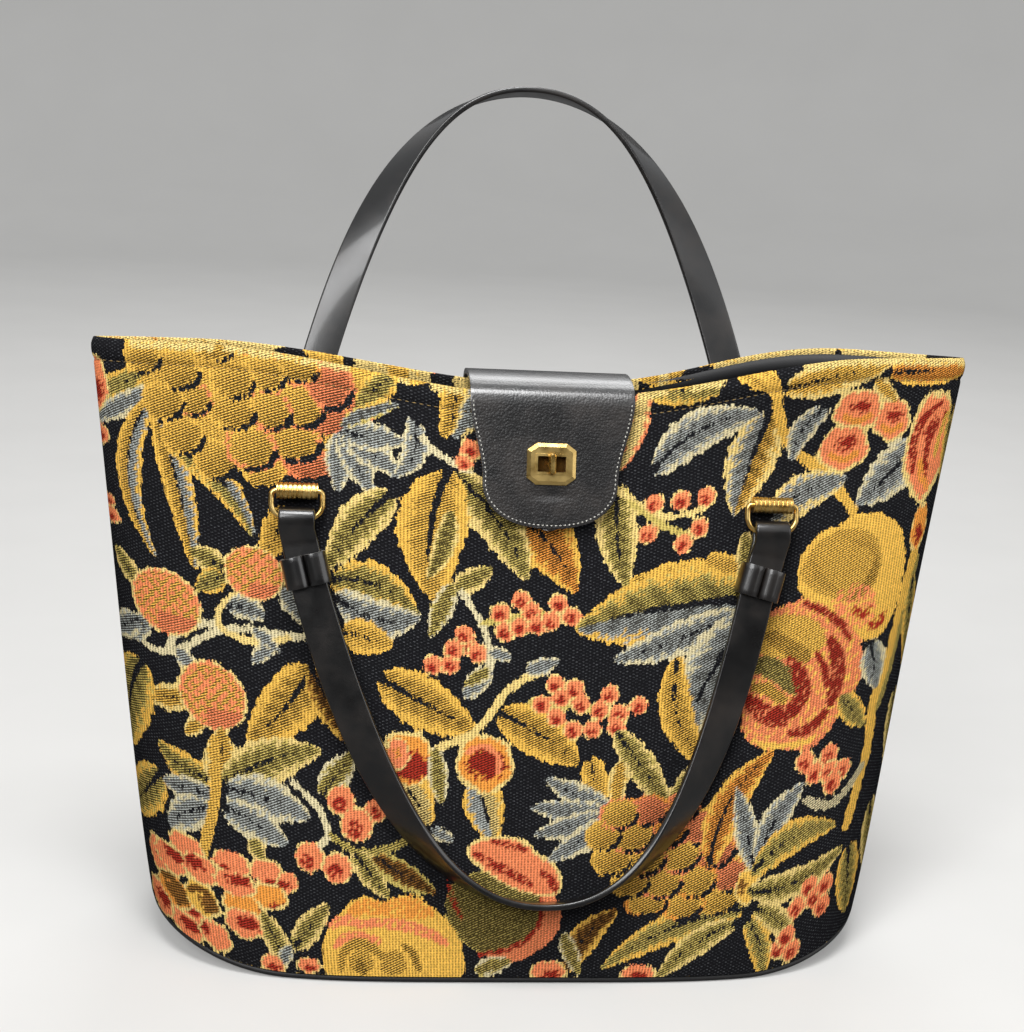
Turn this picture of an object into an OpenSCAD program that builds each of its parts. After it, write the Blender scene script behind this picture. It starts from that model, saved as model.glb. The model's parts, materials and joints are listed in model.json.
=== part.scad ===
// Tapestry tote bag: a tapered fabric body with a soft upturned base, a dipped rim held shut by a
// leather flap with a turn lock, and two leather handles that swing on brass rings.
// Millimetres, +Z up, -Y to the front. The origin is on the floor under the middle of the base.

/* [Body] */
// Width across the rim, side seam to side seam
rim_w = 400; // [360:1:440]
// Height of the side seams above the floor
body_h = 282; // [265:1:300]
// Width of the base
base_w = 330; // [310:1:350]
// Depth of the base, front to back
base_d = 140; // [130:1:155]
// Height by which the two ends of the base turn up
end_lift = 16; // [6:1:22]
// Outward curve of the walls low on the bag
belly = 4; // [1:0.5:6]
// Dip of the rim at its middle
rim_dip = 16; // [8:1:20]
// How much lower the rim hangs at its middle and left than at its right
left_droop = 6; // [0:0.5:8]
// Half the depth of the rim before it is pinched and spread
rim_half_d = 10; // [8:0.5:13]
// How far the flap pinches the rim at its middle
rim_pinch = 3; // [1:0.5:4]
// How far the right side of the rim stands open
rim_spread = 11; // [4:1:16]

/* [Cloth and base] */
// Thickness of the backed tapestry
panel_t = 2; // [1.6:0.1:2.4]
// Height of the stitched hem below the rim
hem_h = 9; // [7:0.5:12]
// Thickness of the lining
lining_t = 0.8; // [0.5:0.1:1.2]
// Room between tapestry and lining
lining_gap = 1.5; // [1.4:0.1:1.8]
// Thickness of the base cover
base_t = 2; // [1.5:0.1:3]
// Thickness of the stiffening board
board_t = 2.5; // [1.5:0.1:4]
// Thickness of the piping round the base
piping_d = 3; // [2.4:0.1:4]

/* [Flap and lock] */
// Width of the flap at its fold
flap_w = 74; // [66:1:84]
// Width of the flap where its round end begins
flap_end_w = 61; // [56:1:66]
// Length of the flap in front, from the rim down
flap_len = 56; // [53:1:62]
// Length of the flap sewn on behind
flap_tail = 42; // [30:1:55]
// Sideways place of the flap's middle
flap_x = 5; // [-15:1:15]
// Thickness of each of the flap's two layers
flap_t = 1.2; // [0.9:0.1:1.6]
// Depth of the lock's middle below the rim
lock_drop = 28; // [26:0.5:30]
// Width of the lock plate
plate_w = 22; // [20:0.5:26]
// Height of the lock plate
plate_h = 18.5; // [16:0.5:22]
// Width of the window in the lock plate
window_w = 12.6; // [11:0.2:14]
// Height of the window in the lock plate
window_h = 7; // [6:0.2:8]
// Length of the turn button's head
button_l = 9.6; // [9:0.1:10.5]
// Width of the turn button's head
button_w = 3.2; // [2.6:0.1:3.6]

/* [Handles] */
// Half the distance between the two rings of a handle
clip_x = 107; // [98:1:116]
// Depth of the clips below the top of the side seams
clip_drop = 65; // [57:1:72]
// Drop of a handle from its clips to its lowest point
handle_drop = 183; // [176:1:187]
// Width of a strap
strap_w = 16; // [14:0.5:18]
// Thickness of a strap
strap_t = 2.8; // [2.2:0.1:3.2]
// Thickness of the ring wire
wire_d = 2.4; // [2:0.1:2.8]
// Length of a clip's ribbed tube
clip_l = 18; // [16:0.5:18.4]
// Angle by which a leg of the handle leans inwards
leg_tilt = 14.5; // [12:0.5:17]
// Sideways place of the lowest point of the front handle
front_bow = 8; // [-10:1:10]
// Angle of the back handle from hanging to where it stands
back_swing = 146; // [140:1:154]

/* [Hidden] */
$fn = 48;

// Colours as on the real bag
cloth_black = [0.10, 0.10, 0.10];
cloth_gold = [0.78, 0.58, 0.22];
leather_black = [0.07, 0.065, 0.06];
lining_black = [0.04, 0.04, 0.045];
brass = [0.76, 0.60, 0.24];
board_brown = [0.45, 0.36, 0.25];

// Small clearances: pieces sewn or riveted together, and pieces that turn in each other
seat = 0.15;
turn_play = 0.06;

// How finely the soft surfaces are divided
panel_cols = 32;
lining_cols = 22;
end_share = 0.94;

// Wall of the bag
flat_share = 0.62;
belly_share = 0.75;
seam_half = 2.6;
function mix(a, b, k) = a + (b - a) * k;
function smooth(a, b, v) = let(k = min(1, max(0, (v - a) / (b - a)))) k * k * (3 - 2 * k);
function bump(s, middle, spread) = exp(-pow((s - middle) / spread, 2));
function swell(h) = sin(180 * sqrt(min(1, max(0, h))));
function half_w(h) = mix(base_w / 2, rim_w / 2, h) + belly * swell(h);
function half_d(h) = mix(base_d / 2, rim_half_d, h) + belly * belly_share * swell(h);
function plan(s, h) = pow(max(0, 1 - pow(abs(s), mix(4.2, 2.4, h))), 1 / mix(2.6, 1.2, h));
function rim_shape(s) = (1 - pow(s, 4))
    * (rim_spread * bump(s, 0.6, 0.28) - rim_pinch * bump(s, 0, 0.25) - 2 * bump(s, -0.55, 0.3));
function seam_round(s) = seam_half * sqrt(max(0, 1 - pow(abs(s), 40)));
function depth(s, h) = half_d(h) * plan(s, h) + smooth(0.8, 1, h) * rim_shape(s) + seam_round(s);
function wall(s, z) = let(h = z / body_h) [half_w(h) * s, -depth(s, h), z];
function wall_depth(x, z) = depth(x / half_w(z / body_h), z / body_h);
function unit(v) = v / norm(v);
function wall_out(s, z) = let(e = 0.004)
    unit(cross(wall(min(1, s + e), z) - wall(max(-1, s - e), z), wall(s, z + 1) - wall(s, z - 1)));
function inside(s, z, inset) = let(p = wall(s, z) - inset * wall_out(s, z)) [p.x, min(-0.05, p.y), p.z];

// Heights of the bottom seam and of the rim along the bag
function lift(s) = end_lift * pow(max(0, (abs(s) - flat_share) / (1 - flat_share)), 2);
function rim_z(s) = body_h - rim_dip * (0.5 + 0.5 * cos(180 * min(1, abs(s) / 0.78)))
    - left_droop * (1 - smooth(0.22, 0.7, s));
function side(c, count) = sin(mix(-90, 90, c / count));

// Solid between two grids of points that have the same rows and columns
function grid_faces(rows, cols, first) = [for (r = [0 : rows - 2], c = [0 : cols - 2])
    let(a = first + r * cols + c) each [[a, a + cols, a + cols + 1], [a, a + cols + 1, a + 1]]];
function flipped(faces) = [for (f = faces) [f[2], f[1], f[0]]];
module slab(outer, inner) {
    rows = len(outer);
    cols = len(outer[0]);
    count = rows * cols;
    last = (rows - 1) * cols;
    points = concat([for (row = outer) each row], [for (row = inner) each row]);
    bottom = [for (c = [0 : cols - 2]) each
        [[c, c + 1, count + c + 1], [c, count + c + 1, count + c]]];
    top = [for (c = [last : last + cols - 2]) each
        [[c + 1, c, count + c], [c + 1, count + c, count + c + 1]]];
    left = [for (r = [0 : rows - 2]) let(a = r * cols) each
        [[a + cols, a, count + a], [a + cols, count + a, count + a + cols]]];
    right = [for (r = [0 : rows - 2]) let(a = r * cols + cols - 1) each
        [[a, a + cols, count + a + cols], [a, count + a + cols, count + a]]];
    polyhedron(points, concat(grid_faces(rows, cols, 0), flipped(grid_faces(rows, cols, count)),
        bottom, top, left, right));
}

// Faces of a wall of closed loops, and of the strips that close a loop from its front to its back
function loop_faces(rows, cols, first) = [for (r = [0 : rows - 2], c = [0 : cols - 1])
    let(n = (c + 1) % cols, a = first + r * cols) each
        [[a + c, a + cols + c, a + cols + n], [a + c, a + cols + n, a + n]]];
function strip_faces(cols, first) = [for (i = [0 : cols / 2 - 1])
    let(j = (cols - i) % cols, k = cols - i - 1) each concat(
        i == cols / 2 - 1 ? [] : [[first + i, first + i + 1, first + k]],
        i == 0 ? [] : [[first + i, first + k, first + j]],
        i == cols / 2 - 1 ? [[first + i, first + i + 1, first + k]] : [])];
function both_sides(front) = concat(front,
    [for (i = [len(front) - 2 : -1 : 1]) [front[i].x, -front[i].y, front[i].z]]);
module plate_of(loops) {
    rows = len(loops);
    cols = len(loops[0]);
    polyhedron([for (row = loops) each row], concat(loop_faces(rows, cols, 0),
        strip_faces(cols, 0), flipped(strip_faces(cols, (rows - 1) * cols))));
}
module cup_of(outer, inner) {
    rows = len(outer);
    cols = len(outer[0]);
    count = rows * cols;
    top = (rows - 1) * cols;
    brim = [for (c = [0 : cols - 1]) let(n = (c + 1) % cols) each
        [[top + n, top + c, count + top + c], [top + n, count + top + c, count + top + n]]];
    polyhedron(concat([for (row = outer) each row], [for (row = inner) each row]),
        concat(loop_faces(rows, cols, 0), flipped(loop_faces(rows, cols, count)), brim,
            strip_faces(cols, 0), flipped(strip_faces(cols, count))));
}

// Front wall: rows run from the bottom seam to a stitched hem at the rim
panel_foot = piping_d + 0.35;
body_rows = [0, 0.03, 0.09, 0.18, 0.3, 0.43, 0.55, 0.65, 0.73, 0.8, 0.87, 0.94];
hem_rows = [[-1.6, 0], [0, -0.4], [1.6, 0.3], [hem_h * 0.55, 0.6], [hem_h - 0.9, 0.35], [hem_h, -0.6]];
function foot_z(s) = lift(s) + panel_foot;
function hem_z(s) = rim_z(s) - hem_h;
module wall_panel() {
    sides = [for (c = [0 : panel_cols]) side(c, panel_cols)];
    outer = concat(
        [for (k = body_rows) [for (s = sides) wall(s, mix(foot_z(s), hem_z(s) - 4, k))]],
        [for (h = hem_rows) [for (s = sides) inside(s, hem_z(s) + h[0], -h[1])]]);
    inner = concat(
        [for (k = body_rows) [for (s = sides) inside(s, mix(foot_z(s), hem_z(s) - 4, k), panel_t)]],
        [for (h = hem_rows) [for (s = sides) inside(s, hem_z(s) + h[0], panel_t)]]);
    slab(outer, inner);
}
module front_panel() {
    color(cloth_gold) difference() {
        wall_panel();
        for (end = [-1, 1]) on_front_clip(end) clip_slot();
        on_lock() turn_holes();
    }
}
module back_panel() {
    color(cloth_gold) mirror([0, 1, 0]) difference() {
        wall_panel();
        for (end = [-1, 1]) on_front_clip(end) clip_slot();
    }
}

// Base: outlines follow the bottom seam at an inset, and turn up at both ends with it
function seam_point(s, inset, rise) = let(
    e = 0.004, z = lift(s),
    along = wall(min(1, s + e), z) - wall(max(-1, s - e), z),
    out = unit([along.y, -along.x]),
    p = wall(s, z)) [p.x - inset * out.x, abs(s) == 1 ? 0 : min(-0.05, p.y - inset * out.y), z + rise];
function seam_loop(inset, rise, cols) =
    both_sides([for (c = [0 : cols]) seam_point(side(c, cols), inset, rise)]);
cover_inset = piping_d + seat;
board_inset = piping_d + 0.6;
board_foot = base_t + seat;
module base_cover() {
    color(leather_black) plate_of([for (rise = [0, base_t]) seam_loop(cover_inset, rise, lining_cols)]);
}
module base_board() {
    color(board_brown)
        plate_of([for (rise = [board_foot, board_foot + board_t]) seam_loop(board_inset, rise, lining_cols)]);
}

// Piping: a cord sewn into the bottom seam, all the way round
piping_sides = 6;
module base_piping() {
    cols = lining_cols;
    spokes = [for (k = [0 : piping_sides - 1]) 360 * k / piping_sides];
    rings = [for (a = spokes)
        seam_loop(piping_d / 2 * (1 - cos(a)), piping_d / 2 * (1 + sin(a)), cols)];
    count = len(rings[0]);
    faces = [for (k = [0 : piping_sides - 1], c = [0 : count - 1])
        let(m = (k + 1) % piping_sides, n = (c + 1) % count) each [
            [k * count + c, m * count + c, m * count + n],
            [k * count + c, m * count + n, k * count + n]]];
    color(leather_black) polyhedron([for (ring = rings) each ring], faces);
}

// Lining: one bag of black cloth inside the walls, standing on the board
lining_top = 1.5;
lining_foot = board_foot + board_t + 0.8;
lining_rows = [0, 0.05, 0.14, 0.3, 0.48, 0.64, 0.75, 0.83, 0.91, 1];
function lining_point(s, k, inset, foot) = let(
    z = mix(lift(s / end_share) + foot, rim_z(s) - lining_top, k)) inside(s, z, inset);
function lining_loop(k, inset, foot) = let(
    front = [for (c = [0 : lining_cols]) lining_point(end_share * side(c, lining_cols), k, inset, foot)],
    n = lining_cols)
    both_sides([for (c = [0 : n]) c == 0 || c == n ? [front[c].x, 0, front[c].z] : front[c]]);
module lining() {
    skin = panel_t + lining_gap;
    color(lining_black) cup_of(
        [for (k = lining_rows) lining_loop(k, skin, lining_foot)],
        [for (k = lining_rows) lining_loop(k, skin + lining_t, lining_foot + lining_t)]);
}

// Flap: a profile from the back wall over the rim to the front, with a round end
flap_stand = 2.9;
flap_crown = 6;
tip_len = 21;
rim_mid_z = rim_z(0);
lock_z = rim_mid_z - lock_drop;
function flap_depth(z) = max([for (k = [-1, -0.5, 0, 0.5, 1]) wall_depth(flap_x + k * flap_w / 2, z)]);
function front_profile(drop) = [-flap_depth(rim_mid_z - drop) - flap_stand, rim_mid_z - drop];
function back_profile(drop) = [flap_depth(rim_mid_z - drop) + 1, rim_mid_z - drop];
front_reach = -front_profile(0)[0];
back_reach = back_profile(0)[0];
lock_span = plate_h / 2 + 2;
tip_start = flap_len - tip_len;
front_drops = concat([for (k = [0.4, 0.8, 1]) k * (lock_drop - lock_span)], [lock_drop + lock_span],
    [for (k = [0.35, 0.6, 0.8, 0.92, 0.985]) mix(lock_drop + lock_span, flap_len, k)]);
flap_path = concat(
    [for (drop = [flap_tail, flap_tail * 0.7, flap_tail * 0.4, 7]) concat(back_profile(drop), [-drop])],
    [for (a = [0 : 22.5 : 180]) [
        mix(back_reach, -front_reach, 0.5 - 0.5 * cos(a)),
        rim_mid_z + flap_crown * sin(a), 0]],
    [for (drop = front_drops) concat(front_profile(drop), [drop])]);
function flap_half(drop) = drop <= 0 ? flap_w / 2
    : drop < tip_start ? mix(flap_w, flap_end_w, smooth(0, tip_start, drop)) / 2
    : flap_end_w / 2 * pow(max(0.001, 1 - pow((drop - tip_start) / tip_len, 2.3)), 1 / 2.3);
function path_out(i) = let(
    a = flap_path[max(0, i - 1)], b = flap_path[min(len(flap_path) - 1, i + 1)],
    d = unit([b[0] - a[0], b[1] - a[1]])) [d[1], -d[0]];
flap_cols = 8;
function flap_grid(out) = [for (i = [len(flap_path) - 1 : -1 : 0])
    let(p = flap_path[i], n = out * path_out(i), half = flap_half(p[2]))
        [for (c = [0 : flap_cols]) [flap_x + mix(-half, half, c / flap_cols), p[0] + n[0], p[1] + n[1]]]];
module flap_layer(out) {
    difference() {
        slab(flap_grid(out + flap_t), flap_grid(out));
        on_lock() translate([0, -flap_stand - flap_t, 0])
            cube([window_w, 6 * flap_t, window_h], center = true);
    }
}
module flap_backing() { color(leather_black) flap_layer(0); }
module flap_leather() { color(leather_black) flap_layer(flap_t + 0.05); }

// Turn lock: local -Y points out of the bag, and y = 0 lies where the flap's back face is less flap_stand
lock_top = front_profile(lock_drop - lock_span);
lock_low = front_profile(lock_drop + lock_span);
lock_lean = atan2(lock_top[0] - lock_low[0], lock_top[1] - lock_low[1]);
lock_bulge = max(0, max([for (k = [0.125 : 0.125 : 0.875])
    flap_depth(mix(lock_top[1], lock_low[1], k)) + flap_stand + mix(lock_top[0], lock_low[0], k)]) - seat / 3);
lock_y = (lock_top[0] + lock_low[0]) / 2 + flap_stand * cos(lock_lean) - lock_bulge;
module on_lock() {
    translate([flap_x, lock_y, lock_z - flap_stand * sin(lock_lean)]) rotate([-lock_lean, 0, 0]) children();
}
base_plate_t = 1.5;
washer_t = 0.5;
flap_face = flap_stand + 2 * flap_t + 0.05;
plate_t = 2;
plate_face = flap_face + 0.1 + plate_t;
button_rise = 3.4;
shaft_r = 1.7;
prong_x = 7;
prong_r = 0.8;
module chamfered(w, h, cut) {
    polygon([[-w / 2 + cut * 1.4, -h / 2], [w / 2 - cut * 1.4, -h / 2], [w / 2, -h / 2 + cut],
        [w / 2, h / 2 - cut], [w / 2 - cut * 1.4, h / 2], [-w / 2 + cut * 1.4, h / 2],
        [-w / 2, h / 2 - cut], [-w / 2, -h / 2 + cut]]);
}
module out_from(y) { translate([0, -y, 0]) rotate([90, 0, 0]) children(); }
module lock_plate() {
    frame = 1.1;
    color(brass) on_lock() difference() {
        union() {
            out_from(flap_face + 0.1) linear_extrude(plate_t * 0.45) chamfered(plate_w, plate_h, 3);
            out_from(flap_face + 0.1 + plate_t * 0.45) hull() {
                linear_extrude(0.01) chamfered(plate_w, plate_h, 3);
                translate([0, 0, plate_t * 0.55 - 0.01]) linear_extrude(0.01)
                    chamfered(plate_w - 3.2, plate_h - 3.2, 2.4);
            }
            out_from(plate_face - 0.01) linear_extrude(0.35)
                square([window_w + 2 * frame, window_h + 2 * frame], center = true);
        }
        out_from(flap_face - 1) linear_extrude(plate_t + 3) square([window_w, window_h], center = true);
    }
}
module lock_washer() {
    color(brass) on_lock() out_from(flap_stand - washer_t - 0.1) linear_extrude(washer_t) difference() {
        square([window_w + 5, window_h + 5], center = true);
        square([window_w, window_h], center = true);
    }
}
module turn_base() {
    color(brass) on_lock() difference() {
        union() {
            out_from(seat) linear_extrude(base_plate_t - 0.4) offset(r = 2) square([14, 5], center = true);
            out_from(seat) cylinder(r = 3.2, h = base_plate_t);
            for (end = [-1, 1]) translate([end * prong_x, 0, 0])
                out_from(-panel_t - 1.4) cylinder(r = prong_r, h = panel_t + 1.9 + seat);
        }
        out_from(-1) cylinder(r = shaft_r + turn_play, h = base_plate_t + 2);
        out_from(-1) cylinder(r = shaft_r + 0.9 + turn_play, h = 1 + seat + 0.7);
    }
}
module turn_holes() {
    for (end = [-1, 1]) translate([end * prong_x, 0, 0]) out_from(-8) cylinder(r = prong_r + seat, h = 12);
}
module turn_washer() {
    color(brass) on_lock() translate([0, panel_t + 0.75, 0]) difference() {
        out_from(-washer_t) linear_extrude(washer_t) offset(r = 2) square([14, 4], center = true);
        turn_holes();
    }
}
module turn_button() {
    head = plate_face + 0.75;
    color(brass) on_lock() union() {
        out_from(seat + 0.05) cylinder(r = shaft_r + 0.9, h = 0.55);
        out_from(seat + 0.05) cylinder(r = shaft_r, h = head - seat);
        out_from(head) hull() {
            for (end = [-1, 1]) translate([0, end * (button_l - button_w) / 2, 0])
                cylinder(d = button_w, h = button_rise - 1.2, $fn = 32);
            for (end = [-1, 1]) translate([0, end * (button_l - button_w) / 2, button_rise - 0.3])
                cylinder(d = button_w * 0.6, h = 0.3, $fn = 32);
        }
    }
}

// Handle frames: a clip's axis runs along X in front of the wall, and a handle hangs from it along the wall
clip_stand = 5.2;
clip_r = 3.7;
clip_z = body_h - clip_drop;
clip_wall = max([for (x = [clip_x - clip_l / 2, clip_x, clip_x + clip_l / 2], end = [-1, 1])
    wall_depth(end * x, clip_z)]);
clip_y = -clip_wall - clip_stand;
low_z = clip_z - handle_drop * cos(15);
low_y = -wall_depth(0, low_z) - strap_w / 2 - 1.2;
hang = atan2(clip_y - low_y, clip_z - low_z);
module on_axis(swing) {
    translate([0, clip_y, clip_z]) rotate([-hang - swing, 0, 0]) children();
}
module on_front_axis() { on_axis(0) children(); }
module on_back_axis() { mirror([0, 1, 0]) on_axis(back_swing) children(); }

// Clip: a ribbed brass tube whose tongue goes through the wall to a washer inside
bore_r = wire_d / 2 + turn_play;
tongue_w = 11;
tongue_t = 1.2;
clip_ribs = 8;
rib_r = 0.45;
clip_lean = atan2(wall_depth(clip_x, clip_z - 8) - wall_depth(clip_x, clip_z + 8), 16);
function clip_yaw(end) = atan2(
    wall_depth(end * clip_x - 8, clip_z) - wall_depth(end * clip_x + 8, clip_z), 16);
module on_front_clip(end) {
    translate([end * clip_x, -wall_depth(end * clip_x, clip_z), clip_z])
        rotate([-clip_lean, 0, clip_yaw(end)]) children();
}
module clip_slot() { cube([tongue_w + 2.4, 24, tongue_t + 1.6], center = true); }
module clip(end) {
    reach = -clip_y - wall_depth(end * clip_x, clip_z);
    color(brass) union() {
        translate([end * clip_x, clip_y, clip_z]) rotate([0, 90, 0]) rotate_extrude() difference() {
            translate([bore_r, -clip_l / 2]) square([clip_r - bore_r, clip_l]);
            for (k = [0 : clip_ribs])
                translate([clip_r + 0.1, mix(-1, 1, k / clip_ribs) * (clip_l / 2 - 0.9)])
                    circle(r = rib_r, $fn = 24);
        }
        on_front_clip(end) translate([-tongue_w / 2, clip_r - 0.7 - reach, -tongue_t / 2])
            cube([tongue_w, reach - clip_r + 0.7 + panel_t + washer_t + 0.45, tongue_t]);
    }
}
module clip_washer(end) {
    color(brass) on_front_clip(end) translate([0, panel_t + 0.42 + washer_t / 2, 0]) difference() {
        cube([tongue_w + 7, washer_t, 9], center = true);
        clip_slot();
    }
}

// Ring: brass wire bent to a rounded D, with its straight top bar in the clip
ring_w = 22.4;
ring_drop = 12;
ring_top_r = 1.9;
ring_low_r = 6.5;
module wire(length) { cylinder(d = wire_d, h = length); }
module wire_bend(radius) { rotate_extrude(angle = 90) translate([radius, 0]) circle(d = wire_d); }
module ring() {
    color(brass) {
        translate([-ring_w / 2 + ring_top_r, 0, 0]) rotate([0, 90, 0]) wire(ring_w - 2 * ring_top_r);
        translate([-ring_w / 2 + ring_low_r, 0, -ring_drop]) rotate([0, 90, 0]) wire(ring_w - 2 * ring_low_r);
        for (end = [0, 1]) mirror([end, 0, 0]) {
            translate([ring_w / 2, 0, -ring_drop + ring_low_r]) wire(ring_drop - ring_low_r - ring_top_r);
            translate([ring_w / 2 - ring_top_r, 0, -ring_top_r]) rotate([90, 0, 0]) wire_bend(ring_top_r);
            translate([ring_w / 2 - ring_low_r, 0, -ring_drop + ring_low_r])
                rotate([-90, 0, 0]) wire_bend(ring_low_r);
        }
    }
}

// Strap: one strip from tail to tail, folded round each ring and twisted on its way down.
// Each station holds its middle and the direction of its width, from the left tail to the lowest point.
loop_r = wire_d / 2 + 1 + strap_t / 2;
layer_y = strap_t / 2 + 0.12;
fold_top = loop_r + strap_t / 2;
keeper_top = fold_top - 21;
keeper_h = 14;
keeper_low = keeper_top - keeper_h;
leg_top = -4;
strap_low = -(norm([clip_y - low_y, clip_z - low_z]) - ring_drop);
rest_tilt = 7;
function leg_x(z) = -clip_x + max(0, leg_top - z) * tan(leg_tilt);
function leg_across(z) = let(a = leg_tilt * smooth(-leg_top, -keeper_top, -z)) [cos(a), 0, sin(a)];
function bezier(p, k) = pow(1 - k, 3) * p[0] + 3 * pow(1 - k, 2) * k * p[1]
    + 3 * (1 - k) * k * k * p[2] + pow(k, 3) * p[3];
function bezier_way(p, k) = unit(3 * pow(1 - k, 2) * (p[1] - p[0])
    + 6 * (1 - k) * k * (p[2] - p[1]) + 3 * k * k * (p[3] - p[2]));
leg_start = [leg_x(keeper_low - 1), -layer_y, keeper_low - 1];
leg_pull = 0.625 * (leg_start.z - strap_low);
function leg_curve(bow) = [leg_start,
    leg_start + leg_pull * [sin(leg_tilt), 0.01, -cos(leg_tilt)] + [bow * 0.6, 0, 0],
    [-clip_x * 0.47 + bow, 0, strap_low], [bow, 0, strap_low]];
leg_steps = 22;
function twisted(way, k) = let(a = (90 - rest_tilt) * smooth(0, 0.95, k), flat = unit(cross([0, 1, 0], way)))
    cos(a) * -flat + sin(a) * [0, -1, 0];
tail_stations = [for (z = [keeper_low + 2, keeper_top - 1, -8])
    [[leg_x(z), layer_y, z], leg_across(z), [sin(leg_tilt) * -0.7, 0, 1]]];
fold_stations = [for (a = [0 : 22.5 : 180])
    [[-clip_x, loop_r * cos(a), loop_r * sin(a)], [1, 0, 0], [0, -sin(a), cos(a)]]];
front_stations = [for (z = [-8, keeper_top, keeper_low])
    [[leg_x(z), -layer_y, z], leg_across(z), [sin(leg_tilt) * 0.7, 0, -1]]];
function leg_stations(bow) = let(curve = leg_curve(bow))
    [for (i = [0 : leg_steps]) let(k = i / leg_steps, way = bezier_way(curve, k))
        [bezier(curve, k), twisted(way, k), way]];
function left_half(bow) = concat(tail_stations, fold_stations, front_stations, leg_stations(bow));
function right_half(bow) = let(left = left_half(-bow)) [for (i = [len(left) - 2 : -1 : 0])
    let(p = left[i])
        [[-p[0].x, p[0].y, p[0].z], [-p[1].x, p[1].y, p[1].z], [p[2].x, -p[2].y, -p[2].z]]];
edge_r = 0.9;
strap_section = let(w = strap_w / 2, t = strap_t / 2) [
    [w, -t + edge_r], [w, t - edge_r], [w - edge_r, t], [-w + edge_r, t],
    [-w, t - edge_r], [-w, -t + edge_r], [-w + edge_r, -t], [w - edge_r, -t]];
module strap(bow) {
    stations = concat(left_half(bow), right_half(bow));
    sides = len(strap_section);
    points = [for (p = stations) let(across = unit(p[1]), out = unit(cross(p[2], across)))
        each [for (q = strap_section) p[0] + q[0] * across + q[1] * out]];
    faces = [for (i = [0 : len(stations) - 2], j = [0 : sides - 1])
        let(a = i * sides, n = (j + 1) % sides) each [
            [a + j, a + sides + n, a + sides + j], [a + j, a + n, a + sides + n]]];
    last = (len(stations) - 1) * sides;
    color(leather_black) translate([0, 0, -ring_drop]) polyhedron(points, concat(faces,
        [[for (j = [sides - 1 : -1 : 0]) j]], [[for (j = [0 : sides - 1]) last + j]]));
}

// Keeper: a band closed round both layers of the strap, its two lobes meeting at a slit in front
keeper_wall = 1.5;
keeper_room = 0.45;
slit = 0.8;
module keeper_outline() {
    inner_w = strap_w + 2 * keeper_room;
    inner_t = 2 * (layer_y + strap_t / 2 + keeper_room);
    lobe = inner_t / 2 + keeper_wall;
    difference() {
        union() {
            for (end = [-1, 1]) hull() {
                translate([end * (inner_w / 2 + keeper_wall - lobe), 0]) circle(r = lobe, $fn = 32);
                translate([end * lobe * 0.8, 0]) circle(r = lobe, $fn = 32);
            }
            translate([-inner_w / 4, 0]) square([inner_w / 2, lobe]);
        }
        square([inner_w, inner_t], center = true);
        translate([-slit / 2, -2 * lobe]) square([slit, 2 * lobe]);
    }
}
module keeper(end) {
    middle = (keeper_top + keeper_low) / 2;
    color(leather_black) translate([end * -leg_x(middle), 0, middle - ring_drop])
        rotate([0, end * leg_tilt, 0]) linear_extrude(keeper_h, center = true) keeper_outline();
}

front_panel();
back_panel();
base_cover();
base_piping();
base_board();
lining();
flap_leather();
flap_backing();
lock_plate();
lock_washer();
turn_base();
turn_button();
turn_washer();
clip(-1);  // front_clip_left
clip(1);  // front_clip_right
mirror([0, 1, 0]) clip(-1);  // back_clip_left
mirror([0, 1, 0]) clip(1);  // back_clip_right
clip_washer(-1);  // front_clip_washer_left
clip_washer(1);  // front_clip_washer_right
mirror([0, 1, 0]) clip_washer(-1);  // back_clip_washer_left
mirror([0, 1, 0]) clip_washer(1);  // back_clip_washer_right
on_front_axis() translate([-clip_x, 0, 0]) ring();  // front_ring_left
on_front_axis() translate([clip_x, 0, 0]) ring();  // front_ring_right
on_back_axis() translate([-clip_x, 0, 0]) ring();  // back_ring_left
on_back_axis() translate([clip_x, 0, 0]) ring();  // back_ring_right
on_front_axis() strap(front_bow);  // front_strap
on_back_axis() strap(0);  // back_strap
on_front_axis() keeper(-1);  // front_keeper_left
on_front_axis() keeper(1);  // front_keeper_right
on_back_axis() keeper(-1);  // back_keeper_left
on_back_axis() keeper(1);  // back_keeper_right
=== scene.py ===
import json
import math

import bmesh
import bpy
import numpy as np
from mathutils import Matrix, Vector


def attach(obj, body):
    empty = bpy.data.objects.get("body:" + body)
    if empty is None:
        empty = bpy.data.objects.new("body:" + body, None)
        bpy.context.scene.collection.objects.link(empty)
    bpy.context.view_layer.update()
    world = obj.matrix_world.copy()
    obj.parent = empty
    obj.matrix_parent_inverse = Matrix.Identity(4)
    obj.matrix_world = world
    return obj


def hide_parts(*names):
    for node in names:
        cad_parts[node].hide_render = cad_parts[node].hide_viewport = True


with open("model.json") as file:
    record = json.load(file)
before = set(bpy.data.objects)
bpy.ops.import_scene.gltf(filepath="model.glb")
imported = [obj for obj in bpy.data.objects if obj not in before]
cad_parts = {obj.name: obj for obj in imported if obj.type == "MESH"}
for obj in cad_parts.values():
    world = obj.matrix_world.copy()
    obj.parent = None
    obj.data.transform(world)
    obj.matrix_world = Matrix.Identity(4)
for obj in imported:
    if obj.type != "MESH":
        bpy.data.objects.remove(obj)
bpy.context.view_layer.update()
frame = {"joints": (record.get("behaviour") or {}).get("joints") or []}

scene = bpy.context.scene
scene.view_settings.view_transform = "Standard"


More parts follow.
